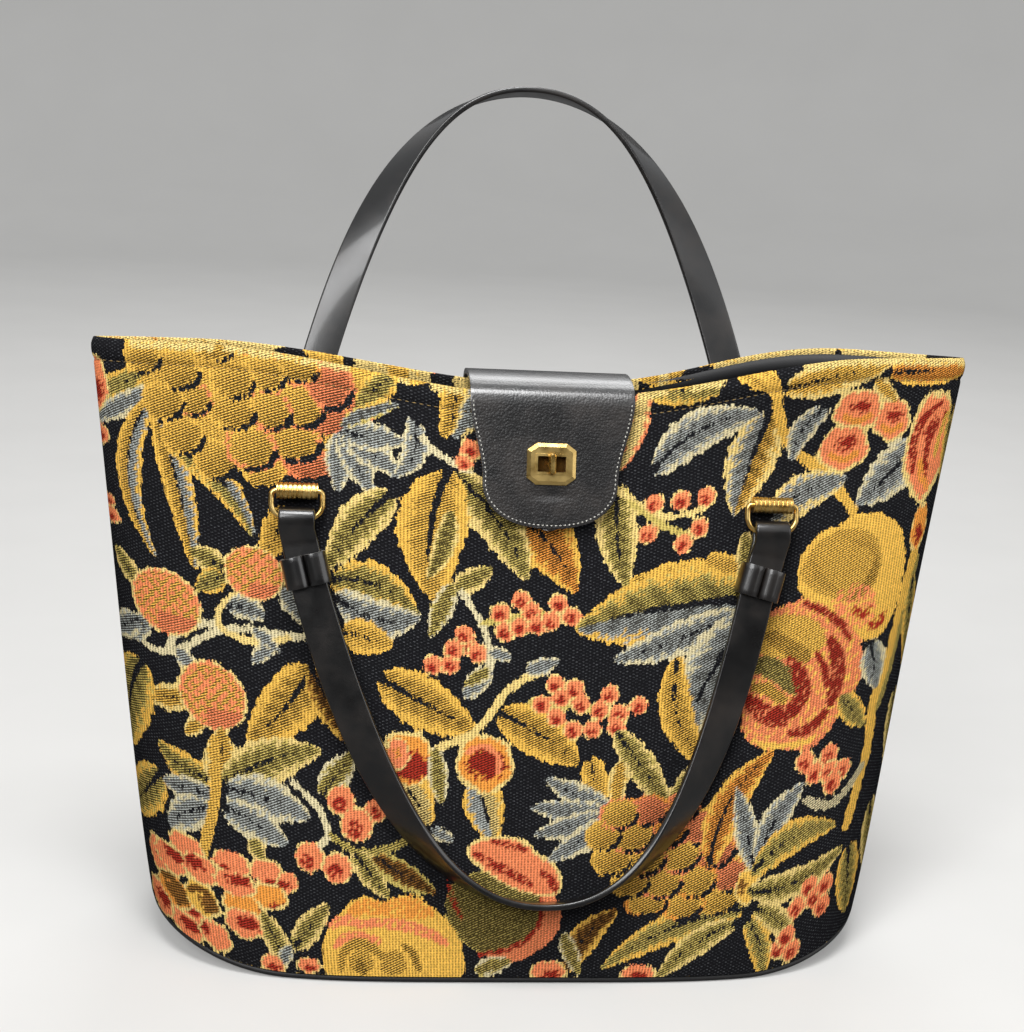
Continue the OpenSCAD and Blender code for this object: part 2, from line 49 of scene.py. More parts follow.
# Camera: the bag was photographed from just left of its middle and a little above its rim,
# with the picture tilted by a few degrees.
MM = 0.001
photo_px = (1024, 1032)
focal_px = 1892.7
looks_at = Vector((-7.7, 0.0, 200.4)) * MM
camera_away = 878.0 * MM
turned, raised, rolled = (math.radians(angle) for angle in (-6.78, 14.78, 3.44))
backwards = Vector((math.sin(turned) * math.cos(raised), -math.cos(turned) * math.cos(raised),
                    math.sin(raised)))
level = Vector((math.cos(turned), math.sin(turned), 0.0))
upright = backwards.cross(level)
sideways = level * math.cos(rolled) + upright * math.sin(rolled)
upwards = upright * math.cos(rolled) - level * math.sin(rolled)

photo_lens = bpy.data.cameras.new("photo_view")
photo_lens.sensor_width = 36.0
photo_lens.lens = focal_px * photo_lens.sensor_width / max(photo_px)
photo_view = bpy.data.objects.new("photo_view", photo_lens)
photo_view.matrix_world = (Matrix.Translation(looks_at + backwards * camera_away)
                           @ Matrix((sideways, upwards, backwards)).transposed().to_4x4())
scene.collection.objects.link(photo_view)
scene.camera = photo_view


# Floor and light: a plain pale studio floor, one large soft lamp from the front left,
# a weaker one from the right, one overhead for the flap's fold and one behind that draws the handle's edge.
def linear(colour):
    """A screen colour from 0 to 255, as the linear colour that a shader takes."""
    part = np.asarray(colour, float) / 255.0
    return np.where(part <= 0.04045, part / 12.92, ((part + 0.055) / 1.055) ** 2.4)


def paint(colour):
    """The same, with the fourth value that a colour socket has."""
    return (*linear(colour), 1.0)


def new_finish(name, roughness, **sockets):
    """A new material, a way to add nodes to it and a way to join them to its shader."""
    finish = bpy.data.materials.new(name)
    finish.use_nodes = True
    shader = finish.node_tree.nodes["Principled BSDF"]
    shader.inputs["Roughness"].default_value = roughness
    for socket, value in sockets.items():
        shader.inputs[socket.replace("_", " ")].default_value = value

    def add(kind, inputs=None, **settings):
        made = finish.node_tree.nodes.new("ShaderNode" + kind)
        for setting, value in settings.items():
            setattr(made, setting, value)
        for socket, value in (inputs or {}).items():
            if isinstance(value, bpy.types.NodeSocket):
                finish.node_tree.links.new(value, made.inputs[socket])
            else:
                made.inputs[socket].default_value = value
        return made

    def join(output, socket):
        finish.node_tree.links.new(output, shader.inputs[socket])

    return finish, add, join


def blend_colours(add, share, first, second):
    """Mixes two colours by a share from 0 to 1."""
    return add("Mix", {0: share, 6: first, 7: second}, data_type="RGBA").outputs[2]


def finished_piece(bm, name, finish):
    """Turns a bmesh that is already in place into a smooth object with one material."""
    mesh = bpy.data.meshes.new(name)
    bm.to_mesh(mesh)
    bm.free()
    mesh.materials.append(finish)
    mesh.polygons.foreach_set("use_smooth", [True] * len(mesh.polygons))
    piece = bpy.data.objects.new(name, mesh)
    scene.collection.objects.link(piece)
    return piece


def mapped_grid(columns, rows, place, flip=False):
    """A grid bent into shape: place turns each vertex's column and row into a point in millimetres."""
    bm = bmesh.new()
    bmesh.ops.create_grid(bm, x_segments=columns, y_segments=rows, size=1.0)
    flat = np.array([vert.co[:2] for vert in bm.verts])
    column, row = (flat[:, 0] + 1.0) * columns / 2.0, (flat[:, 1] + 1.0) * rows / 2.0
    for vert, point in zip(bm.verts, place(column, row) * MM):
        vert.co = point
    if flip:
        bmesh.ops.reverse_faces(bm, faces=bm.faces)
    return bm


# The camera sees the floor pale and a little lit. The bag gets less light back from it, so that its
# black leather stays dark.
floor_glow, floor_gap, bowl_foot = 0.26, 0.2 * MM, 0.1
floor_profile = ((0.02, 0, 0), (2.4, 0, 0), (2.75, 0, bowl_foot), (3.0, 0, 0.4), (3.05, 0, 1.4))
floor_finish, add, join = new_finish("pale_floor", 0.7, Specular_IOR_Level=0.0,
                                     Emission_Color=paint((238, 238, 236)))
mottle = add("TexNoise", {"Vector": add("TexCoord").outputs["Object"], "Scale": 9.0, "Detail": 4.0})
pale = blend_colours(add, mottle.outputs["Fac"], paint((172, 171, 169)), paint((181, 180, 178)))
camera_ray = add("LightPath").outputs["Is Camera Ray"]
join(blend_colours(add, camera_ray, paint((112, 112, 112)), pale), "Base Color")
join(add("Math", {0: camera_ray, 1: floor_glow}, operation="MULTIPLY").outputs[0], "Emission Strength")
bm = bmesh.new()
profile = [bm.verts.new(point) for point in floor_profile]
edges = [bm.edges.new(pair) for pair in zip(profile, profile[1:])]
bmesh.ops.spin(bm, geom=profile + edges, cent=(0, 0, 0), axis=(0, 0, 1), angle=2.0 * math.pi, steps=72,
               use_merge=True)
middle_hole = [edge for edge in bm.edges if edge.is_boundary and edge.verts[0].co.z < bowl_foot]
bmesh.ops.holes_fill(bm, edges=middle_hole, sides=0)
bmesh.ops.translate(bm, verts=bm.verts, vec=(0.0, 0.0, -floor_gap))
bmesh.ops.recalc_face_normals(bm, faces=bm.faces)
floor = finished_piece(bm, "studio_floor", floor_finish)

# The air fills the shadows, and is brighter where the camera or a polished surface sees it.
fill_light, seen_extra = 0.42, 0.30
studio = bpy.data.worlds.new("studio")
studio.use_nodes = True
scene.world = studio
air = studio.node_tree.nodes
rays = air.new("ShaderNodeLightPath")
seen = air.new("ShaderNodeMath")
seen.operation = "MAXIMUM"
brightness = air.new("ShaderNodeMath")
brightness.operation = "MULTIPLY_ADD"
brightness.inputs[1].default_value = seen_extra
brightness.inputs[2].default_value = fill_light
studio.node_tree.links.new(rays.outputs["Is Camera Ray"], seen.inputs[0])
studio.node_tree.links.new(rays.outputs["Is Glossy Ray"], seen.inputs[1])
studio.node_tree.links.new(seen.outputs[0], brightness.inputs[0])
studio.node_tree.links.new(brightness.outputs[0], air["Background"].inputs["Strength"])
air["Background"].inputs["Color"].default_value = paint((236, 238, 240))

bag_middle = Vector((0.0, 0.0, 0.18))


def soft_lamp(name, place, power, size):
    """A square lamp of that power in watts and size in metres, turned to the bag."""
    lamp = bpy.data.lights.new(name, "AREA")
    lamp.energy = power
    lamp.size = size
    holder = bpy.data.objects.new(name, lamp)
    away = Vector(place) - bag_middle
    holder.location = place
    holder.rotation_euler = away.to_track_quat("Z", "Y").to_euler()
    scene.collection.objects.link(holder)


soft_lamp("front_left_lamp", (-0.75, -1.5, 1.35), 23.0, 0.9)
soft_lamp("right_lamp", (1.5, -0.9, 0.8), 10.0, 1.2)
soft_lamp("back_lamp", (0.3, 1.2, 1.5), 12.0, 1.0)
soft_lamp("overhead_lamp", (-0.1, -0.5, 1.5), 19.0, 0.55)


# Walls: front and back are one piece of jacquard tapestry each, backed with stiff cloth. They are sewn
# together at the side seams and to the base, and turned in at the rim with a row of hem stitches.
rim_w, base_w, body_h, base_d = 400.0, 330.0, 282.0, 140.0
rim_half_d, rim_pinch, rim_spread, rim_dip = 10.0, 3.0, 11.0, 16.0
belly, end_lift, seam_half, flat_share = 4.0, 16.0, 2.6, 0.62
hem_h, cloth_t, panel_foot, middle_gap = 9.0, 2.0, 3.35, 0.05
cloth_h, cell, left_droop, dip_reach = 272.0, 1.08, 6.0, 0.78
plan_power, plan_root, droop_ends = (4.2, 2.4), (2.6, 1.2), (0.22, 0.7)
left_close, spread_at, pinch_at, close_at = 2.0, (0.6, 0.28), (0.0, 0.25), (-0.55, 0.3)


def mix(a, b, k):
    """The value that lies the share k of the way from a to b."""
    return a + (b - a) * k


def smooth(a, b, value):
    """Rises from 0 at a to 1 at b, gently at both ends."""
    k = np.clip((value - a) / (b - a), 0.0, 1.0)
    return k * k * (3.0 - 2.0 * k)


def bump(s, middle, spread):
    """A soft hump of height 1 at its middle."""
    return np.exp(-((s - middle) / spread) ** 2)


def unit(vectors):
    return vectors / np.linalg.norm(vectors, axis=-1, keepdims=True)


def steps_along(line):
    """How far each point of a line is from its start."""
    return np.concatenate([[0.0], np.cumsum(np.linalg.norm(np.diff(line, axis=0), axis=1))])


def wall_depth(s, z):
    """Distance of the wall from the bag's middle plane at s, from -1 to 1 across, and height z."""
    h = np.clip(z / body_h, 0.0, 1.0)
    half_d = mix(base_d / 2, rim_half_d, h) + belly * 0.75 * np.sin(np.pi * np.sqrt(h))
    plan = np.maximum(0.0, 1.0 - np.abs(s) ** mix(*plan_power, h)) ** (1.0 / mix(*plan_root, h))
    rim = rim_spread * bump(s, *spread_at) - rim_pinch * bump(s, *pinch_at) - left_close * bump(s, *close_at)
    seam = seam_half * np.sqrt(np.maximum(0.0, 1.0 - np.abs(s) ** 40))
    return half_d * plan + smooth(0.8, 1.0, h) * (1.0 - s ** 4) * rim + seam


def half_width(z):
    """Half the bag's width at height z."""
    h = np.clip(z / body_h, 0.0, 1.0)
    return mix(base_w / 2, rim_w / 2, h) + belly * np.sin(np.pi * np.sqrt(h))


def wall(s, z):
    """A point on the outside of the front wall."""
    return np.stack([half_width(z) * s, -wall_depth(s, z), z + 0.0 * s], -1)


def wall_out(s, z):
    """The direction straight out of the front wall."""
    step = 0.004
    across = wall(np.minimum(1.0, s + step), z) - wall(np.maximum(-1.0, s - step), z)
    return unit(np.cross(across, wall(s, z + 1.0) - wall(s, z - 1.0)))


def off_wall(s, z, out):
    """A point that stands off the front wall by out, or inside it where out is negative."""
    point = wall(s, z) + np.asarray(out)[..., None] * wall_out(s, z)
    point[..., 1] = np.minimum(point[..., 1], -middle_gap)
    return point


def seam_z(s):
    """Height of the base seam, which lifts towards the ends of the bag."""
    return end_lift * np.maximum(0.0, (np.abs(s) - flat_share) / (1.0 - flat_share)) ** 2


def droop(s):
    """How much lower the rim hangs at its middle and left than at its right."""
    return left_droop * (1.0 - smooth(*droop_ends, s))


def rim_z(s):
    """Height of the rim, which dips towards its middle."""
    dip = 0.5 + 0.5 * np.cos(np.pi * np.minimum(1.0, np.abs(s) / dip_reach))
    return body_h - rim_dip * dip - droop(s)


threads = {name: linear(colour) for name, colour in {
    "gold": (242, 190, 86), "pale": (238, 208, 130), "cream": (222, 208, 164), "coral": (246, 142, 94),
    "red": (176, 54, 40), "olive": (206, 184, 100), "blue": (178, 182, 176), "orange": (242, 158, 70),
    "brown": (160, 110, 52)}.items()}


def tapestry(u, v, below):
    """The woven pattern at each (u, v) mm on the cloth and that far below the rim, with a painted highlight
    along the hem's top edge: the colour of its thread, 1 where it shows and 0 on the black ground, and how
    much dark thread is hatched into it."""
    grain = np.random.default_rng(5).random(u.size)
    ragged = np.random.default_rng(8).random(u.size) - 0.5
    colour, shown, hatch = np.zeros((u.size, 3)), np.zeros(u.size), np.zeros(u.size)

    def lay(where, thread, dark=0.0, share=1.0):
        cells = where & (grain < share)
        colour[cells] = threads[thread]
        shown[cells] = 1.0
        hatch[cells] = dark[cells] if np.ndim(dark) else dark

    def leaf(base, tip, half, rim, core, bend=0.0, dark=0.6, other=None):
        """A pointed leaf from base to tip: a pale rim, a hatched core with side veins, and a black midrib.
        It may bend to a side by some millimetres, and have another thread on its far side."""
        lobe_mm, vein_mm = 7.0, max(4.5, half * 0.65)
        span = np.subtract(tip, base)
        length = math.hypot(*span)
        way = span / length
        along = (u - base[0]) * way[0] + (v - base[1]) * way[1]
        t = np.clip(along / length, 0.0, 1.0)
        side = (v - base[1]) * way[0] - (u - base[0]) * way[1] - bend * 4.0 * t * (1.0 - t)
        slant = along - 0.7 * np.abs(side)
        lobes = 1.0 + 0.06 * np.sin(slant * 2.0 * np.pi / lobe_mm)
        width = half * np.sin(np.pi * t ** 0.8) ** 0.7 * lobes + 0.01
        place = np.abs(side) / width + 0.1 * ragged
        blade = (along > 0.0) & (along < length) & (place < 1.0)
        veins = 0.5 + 0.5 * np.sin(slant * 2.0 * np.pi / vein_mm)
        depth = 1.15 * dark * smooth(0.9, 0.35, place) * (0.65 + 0.45 * veins)
        inner = blade & (place + 0.45 * (grain - 0.5) < 0.6 + 0.15 * veins)
        lay(blade, rim, 0.08)
        lay(inner & (side > 0.0), core, depth)
        lay(inner & (side <= 0.0), other or core, depth)
        if half > 5.0:
            midrib = np.abs(side) < 0.3 + 0.12 * half * (1.0 - t)
            shown[blade & midrib & (t < 0.85)] = 0.0

    def berry(cu, cv, r):
        """A round berry with a thin pale edge and a red shadow low on one side."""
        far = np.hypot(u - cu, v - cv) / r + 0.12 * ragged
        lay(far < 1.0, "pale")
        lay(far < 0.9, "coral")
        lay(np.hypot(u - cu + 0.1 * r, v - cv + 0.25 * r) < 0.5 * r, "red", 0.15, 0.8)

    def floret(cu, cv, ru, rv, fill="coral", deep="red", at=(0.1, -0.3), size=0.5, dark=0.2):
        """A petal with a pale edge and a deeper patch."""
        a, b = (u - cu) / ru, (v - cv) / rv
        q = np.hypot(a, b) + 0.1 * ragged + 0.05 * np.sin(np.arctan2(b, a) * 5.0)
        lay(q < 1.04, "pale")
        lay(q < 0.92, fill)
        lay((q < 0.92) & (np.hypot(a - at[0], (b - at[1]) * 1.3) + 0.4 * ragged < size), deep, dark)

    def rounded(points, closed):
        """Cuts the corners of a line of points twice."""
        for _ in range(2):
            pairs = list(zip(points, points[1:] + points[:1] if closed else points[1:]))
            cut = [mix(np.array(p, float), np.array(q, float), k) for p, q in pairs for k in (0.25, 0.75)]
            points = cut if closed else [points[0], *cut, points[-1]]
        return points

    def patch(points, thread, dark=0.0, share=1.0):
        """A field of one thread inside a rounded outline."""
        outline = rounded(list(points), True)
        inside = np.zeros(u.size, bool)
        edge_u, edge_v = u + 0.6 * ragged, v + 0.6 * ragged
        for (au, av), (bu, bv) in zip(outline, outline[1:] + outline[:1]):
            if av != bv:
                crossed = (av > edge_v) != (bv > edge_v)
                inside ^= crossed & (edge_u < (bu - au) * (edge_v - av) / (bv - av) + au)
        lay(inside, thread, dark, share)
        return inside

    def stroke(points, width, thread, dark=0.0, share=1.0, tapered=False):
        """A stem of one width, or a line that is thin at both ends."""
        thinnest_stem = 2.8
        line = rounded(list(points), False)
        for k, ((au, av), (bu, bv)) in enumerate(zip(line, line[1:])):
            swell = math.sin(math.pi * (k + 0.7) / (len(line) + 0.4)) ** 0.6
            w = width * swell if tapered else max(width, thinnest_stem)
            along = np.clip(((u - au) * (bu - au) + (v - av) * (bv - av))
                            / ((bu - au) ** 2 + (bv - av) ** 2 + 1e-9), 0.0, 1.0)
            far = np.hypot(u - mix(au, bu, along), v - mix(av, bv, along))
            lay(far < w / 2.0 + 0.4 * ragged, thread, dark, share)

    def curl(points, width, thread, dark, share=1.0):
        """The shaded edge of a curled petal."""
        stroke(points, width, thread, dark, share, tapered=True)

    def strawberry(cu, cv, ru, rv):
        """A coral fruit under a net of gold thread."""
        mesh_mm, start_mm = 5.6, 900.0
        a, b = (u - cu) / ru, (v - cv) / rv
        q = a * a + b * b + 0.12 * ragged
        rising, falling = (np.modf((way + start_mm) / mesh_mm)[0] - 0.5 for way in (u + v, u - v))
        net = np.minimum(np.abs(rising), np.abs(falling))
        lay(q < 1.0, "pale")
        lay(q < 0.88, "coral")
        lay((q < 0.8) & (net < 0.16), "gold", 0.4, 0.85)
        lay((q < 0.86) & (b < -0.35) & (a > -0.2), "coral", 0.25)

    def scale(cu, cv, ru, rv, light, edge):
        """One rounded scale of a pineapple: a clean edge, a hatched middle and a black shadow under it."""
        a, b = (u - cu) / ru, (v - cv) / rv
        q, low = np.hypot(a, b), 0.6 * a - 0.8 * b
        lay(q + 0.12 * ragged < 1.14, edge, 0.08)
        lay(q + 0.3 * ragged < 0.98, light, 0.16)
        lay(q + 0.4 * ragged < 0.86, light, np.clip(0.5 + 0.35 * low, 0.2, 0.85))
        shown[(q > 0.97 - 0.14 * low) & (q < 1.16) & (low > 0.55)] = 0.0

    # Left side, from the rim down. Places and sizes are in millimetres from the middle of the cloth's foot.
    leaf((-160, 258), (-206, 240), 5.5, "gold", "olive", bend=3)
    leaf((-164, 247), (-206, 228), 5, "cream", "blue", bend=2, dark=0.65)
    leaf((-162, 246), (-168, 170), 7, "gold", "blue", bend=-15, dark=0.5, other="gold")
    leaf((-164, 236), (-150, 169), 7, "gold", "blue", bend=2, other="gold")
    leaf((-160, 222), (-122, 186), 6.5, "gold", "blue", bend=7, dark=0.65, other="olive")
    patch([(-176, 262), (-178, 275), (-72, 275), (-70, 258), (-80, 240), (-100, 216), (-135, 213),
           (-160, 232)], "gold", 0.2)
    for row in (
            (-117, 214, 8, 5, "gold", "gold"), (-98, 222, 10, 7, "coral", "coral"),
            (-138, 218, 9, 8, "gold", "gold"), (-105, 231, 12, 9, "gold", "coral"),
            (-122, 225, 10, 9, "gold", "coral"), (-152, 227, 9, 8, "gold", "gold"),
            (-78, 249, 7, 8, "coral", "coral"), (-89, 243, 9, 8, "coral", "gold"),
            (-101, 246, 10, 9, "gold", "coral"), (-114, 242, 9, 8, "gold", "coral"),
            (-130, 240, 10, 8, "gold", "gold"), (-147, 243, 8, 7, "gold", "coral"),
            (-160, 241, 9, 8, "gold", "gold"), (-88, 257, 9, 10, "coral", "coral"),
            (-102, 262, 9, 6, "gold", "orange"), (-115, 257, 8, 7, "gold", "gold"),
            (-129, 253, 9, 8, "gold", "gold"), (-153, 255, 10, 8, "gold", "gold"),
            (-168, 260, 8, 7, "gold", "gold"), (-119, 269, 9, 5, "gold", "orange"),
            (-137, 266, 9, 6, "gold", "gold"), (-155, 269, 9, 5, "gold", "gold")):
        scale(*row)
    floret(-199, 246, 11, 13)
    floret(-199, 222, 9, 4.5)
    floret(-198, 191, 8, 3.2)
    floret(-196, 184, 9, 3.5)
    for tip, half in (((-86, 212), 6), ((-71, 214), 6.5), ((-59, 225), 7), ((-57, 239), 6.5)):
        leaf((-84, 238), tip, half, "cream", "blue")
    leaf((-84, 240), (-58, 255), 3.5, "olive", "blue", bend=2, dark=0.8)
    leaf((-54, 251), (-63, 222), 5.5, "cream", "blue", bend=6)
    leaf((-61, 268), (-78, 250), 6, "gold", "olive", dark=0.7)
    leaf((-66, 271), (-46, 268), 5, "gold", "gold", dark=0.5)
    leaf((-38, 274), (-42, 243), 6.5, "gold", "gold", bend=4)
    leaf((-28, 268), (-37, 244), 5, "pale", "blue", bend=3, dark=0.7)
    stroke([(-50, 242), (-42, 235), (-33, 232), (-24, 225)], 2.6, "cream")
    berry(-29, 240, 4.8)
    berry(-32, 234, 3.8)
    leaf((-62, 216), (-91, 178), 9, "pale", "olive", bend=-2, dark=0.7)
    leaf((-30, 226), (19, 178), 14.5, "gold", "orange", bend=7)
    leaf((-36, 229), (-3, 183), 10.5, "pale", "olive", bend=4, dark=0.7)
    leaf((-38, 230), (-44, 170), 15, "gold", "gold", bend=-5, dark=0.45)
    leaf((-37, 212), (-47, 180), 5, "pale", "olive", bend=2, dark=0.8)
    leaf((-106, 202), (-119, 178), 7, "gold", "gold", dark=0.35)
    leaf((-90, 173), (-51, 164), 9.5, "gold", "olive", bend=6, dark=0.7)
    leaf((-88, 167), (-49, 163), 9.5, "cream", "blue", bend=-6, dark=0.65)
    leaf((-85, 152), (-62, 149), 8, "gold", "gold", dark=0.35)
    stroke([(-188, 137), (-183, 132), (-175, 128), (-166, 129), (-157, 134), (-147, 141), (-135, 147),
            (-122, 148), (-109, 146), (-97, 148)], 2.2, "cream")
    stroke([(-165, 131), (-163, 136), (-157, 142), (-147, 147), (-140, 148)], 2.2, "cream")
    stroke([(-132, 161), (-139, 155), (-141, 148), (-136, 144), (-126, 142), (-116, 143),
            (-109, 146)], 2.2, "pale")
    leaf((-115, 143), (-126, 133), 3.5, "cream", "blue")
    leaf((-161, 132), (-151, 124), 4, "cream", "blue")
    leaf((-136, 156), (-118, 153), 5.5, "cream", "blue", bend=2, dark=0.7)
    leaf((-111, 166), (-98, 152), 5, "cream", "blue")
    leaf((-124, 148), (-112, 139), 3, "cream", "blue")
    leaf((-180, 157), (-194, 170), 5.5, "pale", "olive", dark=0.7)
    leaf((-174, 142), (-189, 128), 5.5, "cream", "blue", dark=0.7)
    leaf((-136, 172), (-152, 178), 5.5, "pale", "olive", dark=0.7)
    leaf((-136, 169), (-150, 161), 5.5, "gold", "olive", dark=0.7)
    leaf((-157, 112), (-179, 105), 6, "pale", "gold", dark=0.5)
    leaf((-150, 104), (-160, 95), 3.5, "pale", "gold", dark=0.5)
    strawberry(-165.5, 152, 18, 14.6)
    strawberry(-123, 171.6, 13.5, 11.5)
    leaf((-179, 140), (-203, 127), 6.5, "cream", "blue", dark=0.7)
    leaf((-180, 121), (-199, 71), 15, "gold", "olive", bend=-4, dark=0.7)
    leaf((-174, 72), (-202, 38), 10, "gold", "olive", dark=0.7)
    leaf((-98, 135), (-129, 100), 12, "gold", "gold", bend=3)
    leaf((-99, 134), (-79, 102), 8.5, "gold", "brown", dark=0.8)
    strawberry(-145, 115.6, 16.5, 15)

    # Acanthus and the flowers under it
    leaf((-148, 79), (-175, 86), 7.5, "gold", "olive", bend=3, dark=0.7)
    leaf((-147, 77), (-141, 103), 8, "pale", "gold", bend=-2, dark=0.5)
    leaf((-143, 77), (-95, 99), 10, "pale", "olive", bend=4, dark=0.65)
    leaf((-142, 76), (-101, 69), 9.5, "cream", "blue", bend=3, dark=0.55)
    leaf((-143, 68), (-112, 56), 8, "cream", "blue", bend=2, dark=0.55)
    leaf((-148, 72), (-174, 69), 6, "cream", "blue")
    leaf((-149, 66), (-173, 49), 7.5, "cream", "blue", bend=-2, dark=0.55)
    leaf((-130, 57), (-124, 48), 4, "pale", "olive")
    stroke([(-145, 96), (-145, 76), (-150, 58), (-155, 44)], 5.0, "gold", 0.15)
    for cu, cv, ru, rv, fill, at in (
            (-163.5, 43.5, 9.5, 5.5, "coral", (0.6, -0.6)), (-140.5, 44, 9.5, 5.5, "coral", (-0.6, -0.8)),
            (-123.5, 43.5, 8, 5.5, "coral", (0.5, -0.9)), (-113.5, 40, 5, 4.5, "coral", (-0.3, -0.3)),
            (-182, 30, 6, 8, "coral", (0.4, 0.2)), (-173.5, 33, 10, 6.5, "coral", (0.3, 0.4)),
            (-157, 36, 9.5, 6.5, "coral", (-0.3, 0.3)), (-136.5, 26.5, 10, 6, "orange", (1.5, 0.0)),
            (-122.5, 33, 8.5, 5.5, "orange", (0.6, -0.9)), (-139.5, 35.5, 10.5, 5.5, "coral", (0.2, 0.3)),
            (-136.5, 18.5, 10, 6.5, "coral", (0.25, 0.1)), (-162.5, 13, 9, 4, "coral", (-0.2, 0.3)),
            (-152.5, 8, 8.5, 6.5, "coral", (-0.9, 0.3)), (-168.5, 5, 9, 6, "coral", (0.2, 0.2)),
            (-184, 8, 8, 8, "coral", (0.3, 0.1))):
        floret(cu, cv, ru, rv, fill, "red", at, 0.6)
    floret(-173.5, 18, 10, 7, "orange", "brown", (0.2, 0.0), 0.75, 0.35)
    floret(-157.5, 22.5, 9, 7.5, "gold", "brown", (0.5, -0.2), 0.65, 0.3)
    stroke([(-180, 22), (-172, 24), (-166, 19), (-172, 14)], 1.4, "brown", 0.5)
    stroke([(-164, 24), (-157, 28), (-150, 23), (-156, 18)], 1.4, "brown", 0.5)
    leaf((-117, 5), (-127, 26), 6, "pale", "olive", dark=0.7)
    leaf((-113, 11), (-94, 32), 6, "pale", "olive", dark=0.7)
    leaf((-114, 12), (-121, 2), 3.5, "cream", "blue")
    floret(-124, 3, 6, 4)
    floret(-106, 4, 6, 3.5)
    stroke([(-109, 84), (-97, 75), (-92, 63), (-97, 57)], 2.4, "cream")
    stroke([(-92, 63), (-83, 56), (-68, 57), (-54, 63)], 2.2, "olive", 0.4)
    leaf((-96, 79), (-80, 100), 6.5, "cream", "olive", dark=0.7)
    for cu, cv, r in (
            (-86.5, 78, 6.8), (-70.5, 75, 5.4), (-79.5, 68, 7.8), (-102.5, 52, 6.9), (-89.5, 48, 7.2)):
        berry(cu, cv, r)
    leaf((-81, 56), (-65, 36), 6, "pale", "olive", dark=0.7)
    leaf((-72, 54), (-42, 39), 6, "olive", "brown", dark=0.8)

    # Middle: buds, berries and the leaves between them
    leaf((-69, 134), (-25, 114), 12, "gold", "gold")
    leaf((-15, 123), (24, 99), 10.5, "gold", "gold", bend=2)
    stroke([(8, 143), (-4, 138), (-13, 131), (-18, 121), (-26, 112), (-42, 105)], 3.2, "pale")
    leaf((-31, 129), (-17, 141), 4, "cream", "blue")
    leaf((-3, 142), (13, 147), 4, "cream", "blue")
    leaf((-59, 91), (-45, 70), 9, "gold", "pale", dark=0.4)
    floret(-55.5, 99, 12, 12, "orange", "red", (0.1, -0.25), 0.7)
    floret(-60, 101, 5, 7, "coral", "orange", (0.0, 0.0), 0.3)
    leaf((-43, 105), (-40, 79), 4.5, "cream", "olive", dark=0.7)
    leaf((-24, 92), (-15, 64), 9.5, "gold", "pale", dark=0.4, other="blue")
    floret(-20, 99, 13, 13, "orange", "red", (0.0, 0.0), 0.65, 0.35)
    stroke([(-28, 104), (-21, 108), (-13, 103), (-14, 96)], 1.8, "coral")
    leaf((-45, 68), (-33, 63), 3, "cream", "blue")
    leaf((-36, 179), (-46, 154), 5, "cream", "olive", dark=0.7)
    leaf((-35, 177), (-18, 188), 5, "pale", "olive", dark=0.7)
    stroke([(-32, 176), (-23, 164), (-18, 150), (-20, 138)], 2.0, "cream")
    leaf((-19, 150), (-8, 148), 3, "cream", "blue")
    leaf((-19, 142), (-30, 134), 3.5, "cream", "olive", dark=0.7)
    stroke([(-22, 163), (-10, 166), (4, 168)], 1.5, "olive")
    stroke([(0, 128), (20, 126), (42, 121)], 1.5, "olive")
    for cu, cv in (
            (-44.5, 142), (-36.5, 143), (-28.5, 152), (-35, 150), (-30.5, 157), (-24.5, 149), (-14.5, 168),
            (-5.5, 174), (-1, 169), (-12.5, 159.5), (-6, 162), (2, 163), (11, 173), (17, 167), (8, 165),
            (11, 136), (14, 130), (20, 134), (5, 127), (12, 121), (23, 127), (36, 131), (32, 124),
            (41, 122), (50, 125), (20, 115), (29, 115), (40, 116)):
        berry(cu, cv, 4.5)
    patch([(-37, 40), (-38, 30), (-30, 17), (-14, 8), (3, 10), (17, 20), (20, 30), (14, 42), (-10, 50),
           (-30, 48)], "olive", 0.85)
    patch([(-20, 11), (-8, 7), (3, 9), (17, 19), (20, 30), (14, 42), (8, 40), (10, 28), (2, 18),
           (-10, 13)], "coral", 0.1)
    curl([(-22, 11), (-8, 13), (3, 18), (10, 28), (8, 38)], 3.0, "red", 0.2, 0.85)
    curl([(-37, 45), (-34, 36), (-30, 28)], 3.0, "red", 0.2, 0.8)
    patch([(-30, 60), (-21, 65.5), (-9, 67), (1, 64), (6.5, 58), (14, 55), (19, 46.5), (18, 39), (7, 38),
           (-7, 42), (-22, 51)], "pale")
    patch([(-28, 60), (-21, 64), (-9, 65.5), (0, 63), (6, 56.5), (13, 53.5), (17.5, 46), (17, 40), (7, 39),
           (-7, 43), (-21, 52)], "coral", 0.06)
    curl([(-24, 58), (-15, 53), (-6, 49), (4, 44)], 4.5, "red", 0.2, 0.7)
    curl([(-16, 64), (-8, 62), (0, 60)], 3.0, "red", 0.2, 0.6)
    curl([(8, 50), (13, 46), (16, 41)], 4.0, "red", 0.2, 0.8)
    patch([(-98.5, -4), (-99, 13), (-94, 22), (-87, 30), (-82, 35), (-75, 37), (-69, 33), (-63, 36.5),
           (-56, 38), (-49, 36), (-42, 31), (-36, 26), (-31, 19), (-28.5, 12), (-28, -4)], "gold", 0.04)
    patch([(-87, 27), (-82, 34), (-75, 36), (-69, 33), (-63, 36), (-56, 37.5), (-49, 35.5), (-40, 28),
           (-55, 27), (-72, 28)], "orange", 0.06, 0.8)
    curl([(-94, 22), (-86, 26), (-80, 24)], 5.0, "coral", 0.0, 0.9)
    curl([(-82, 23), (-70, 25), (-58, 24), (-46, 21), (-37, 16)], 5.5, "coral", 0.05, 0.85)
    curl([(-92, 13), (-87, 18), (-79, 19.5), (-70, 16)], 4.0, "coral", 0.05, 0.9)
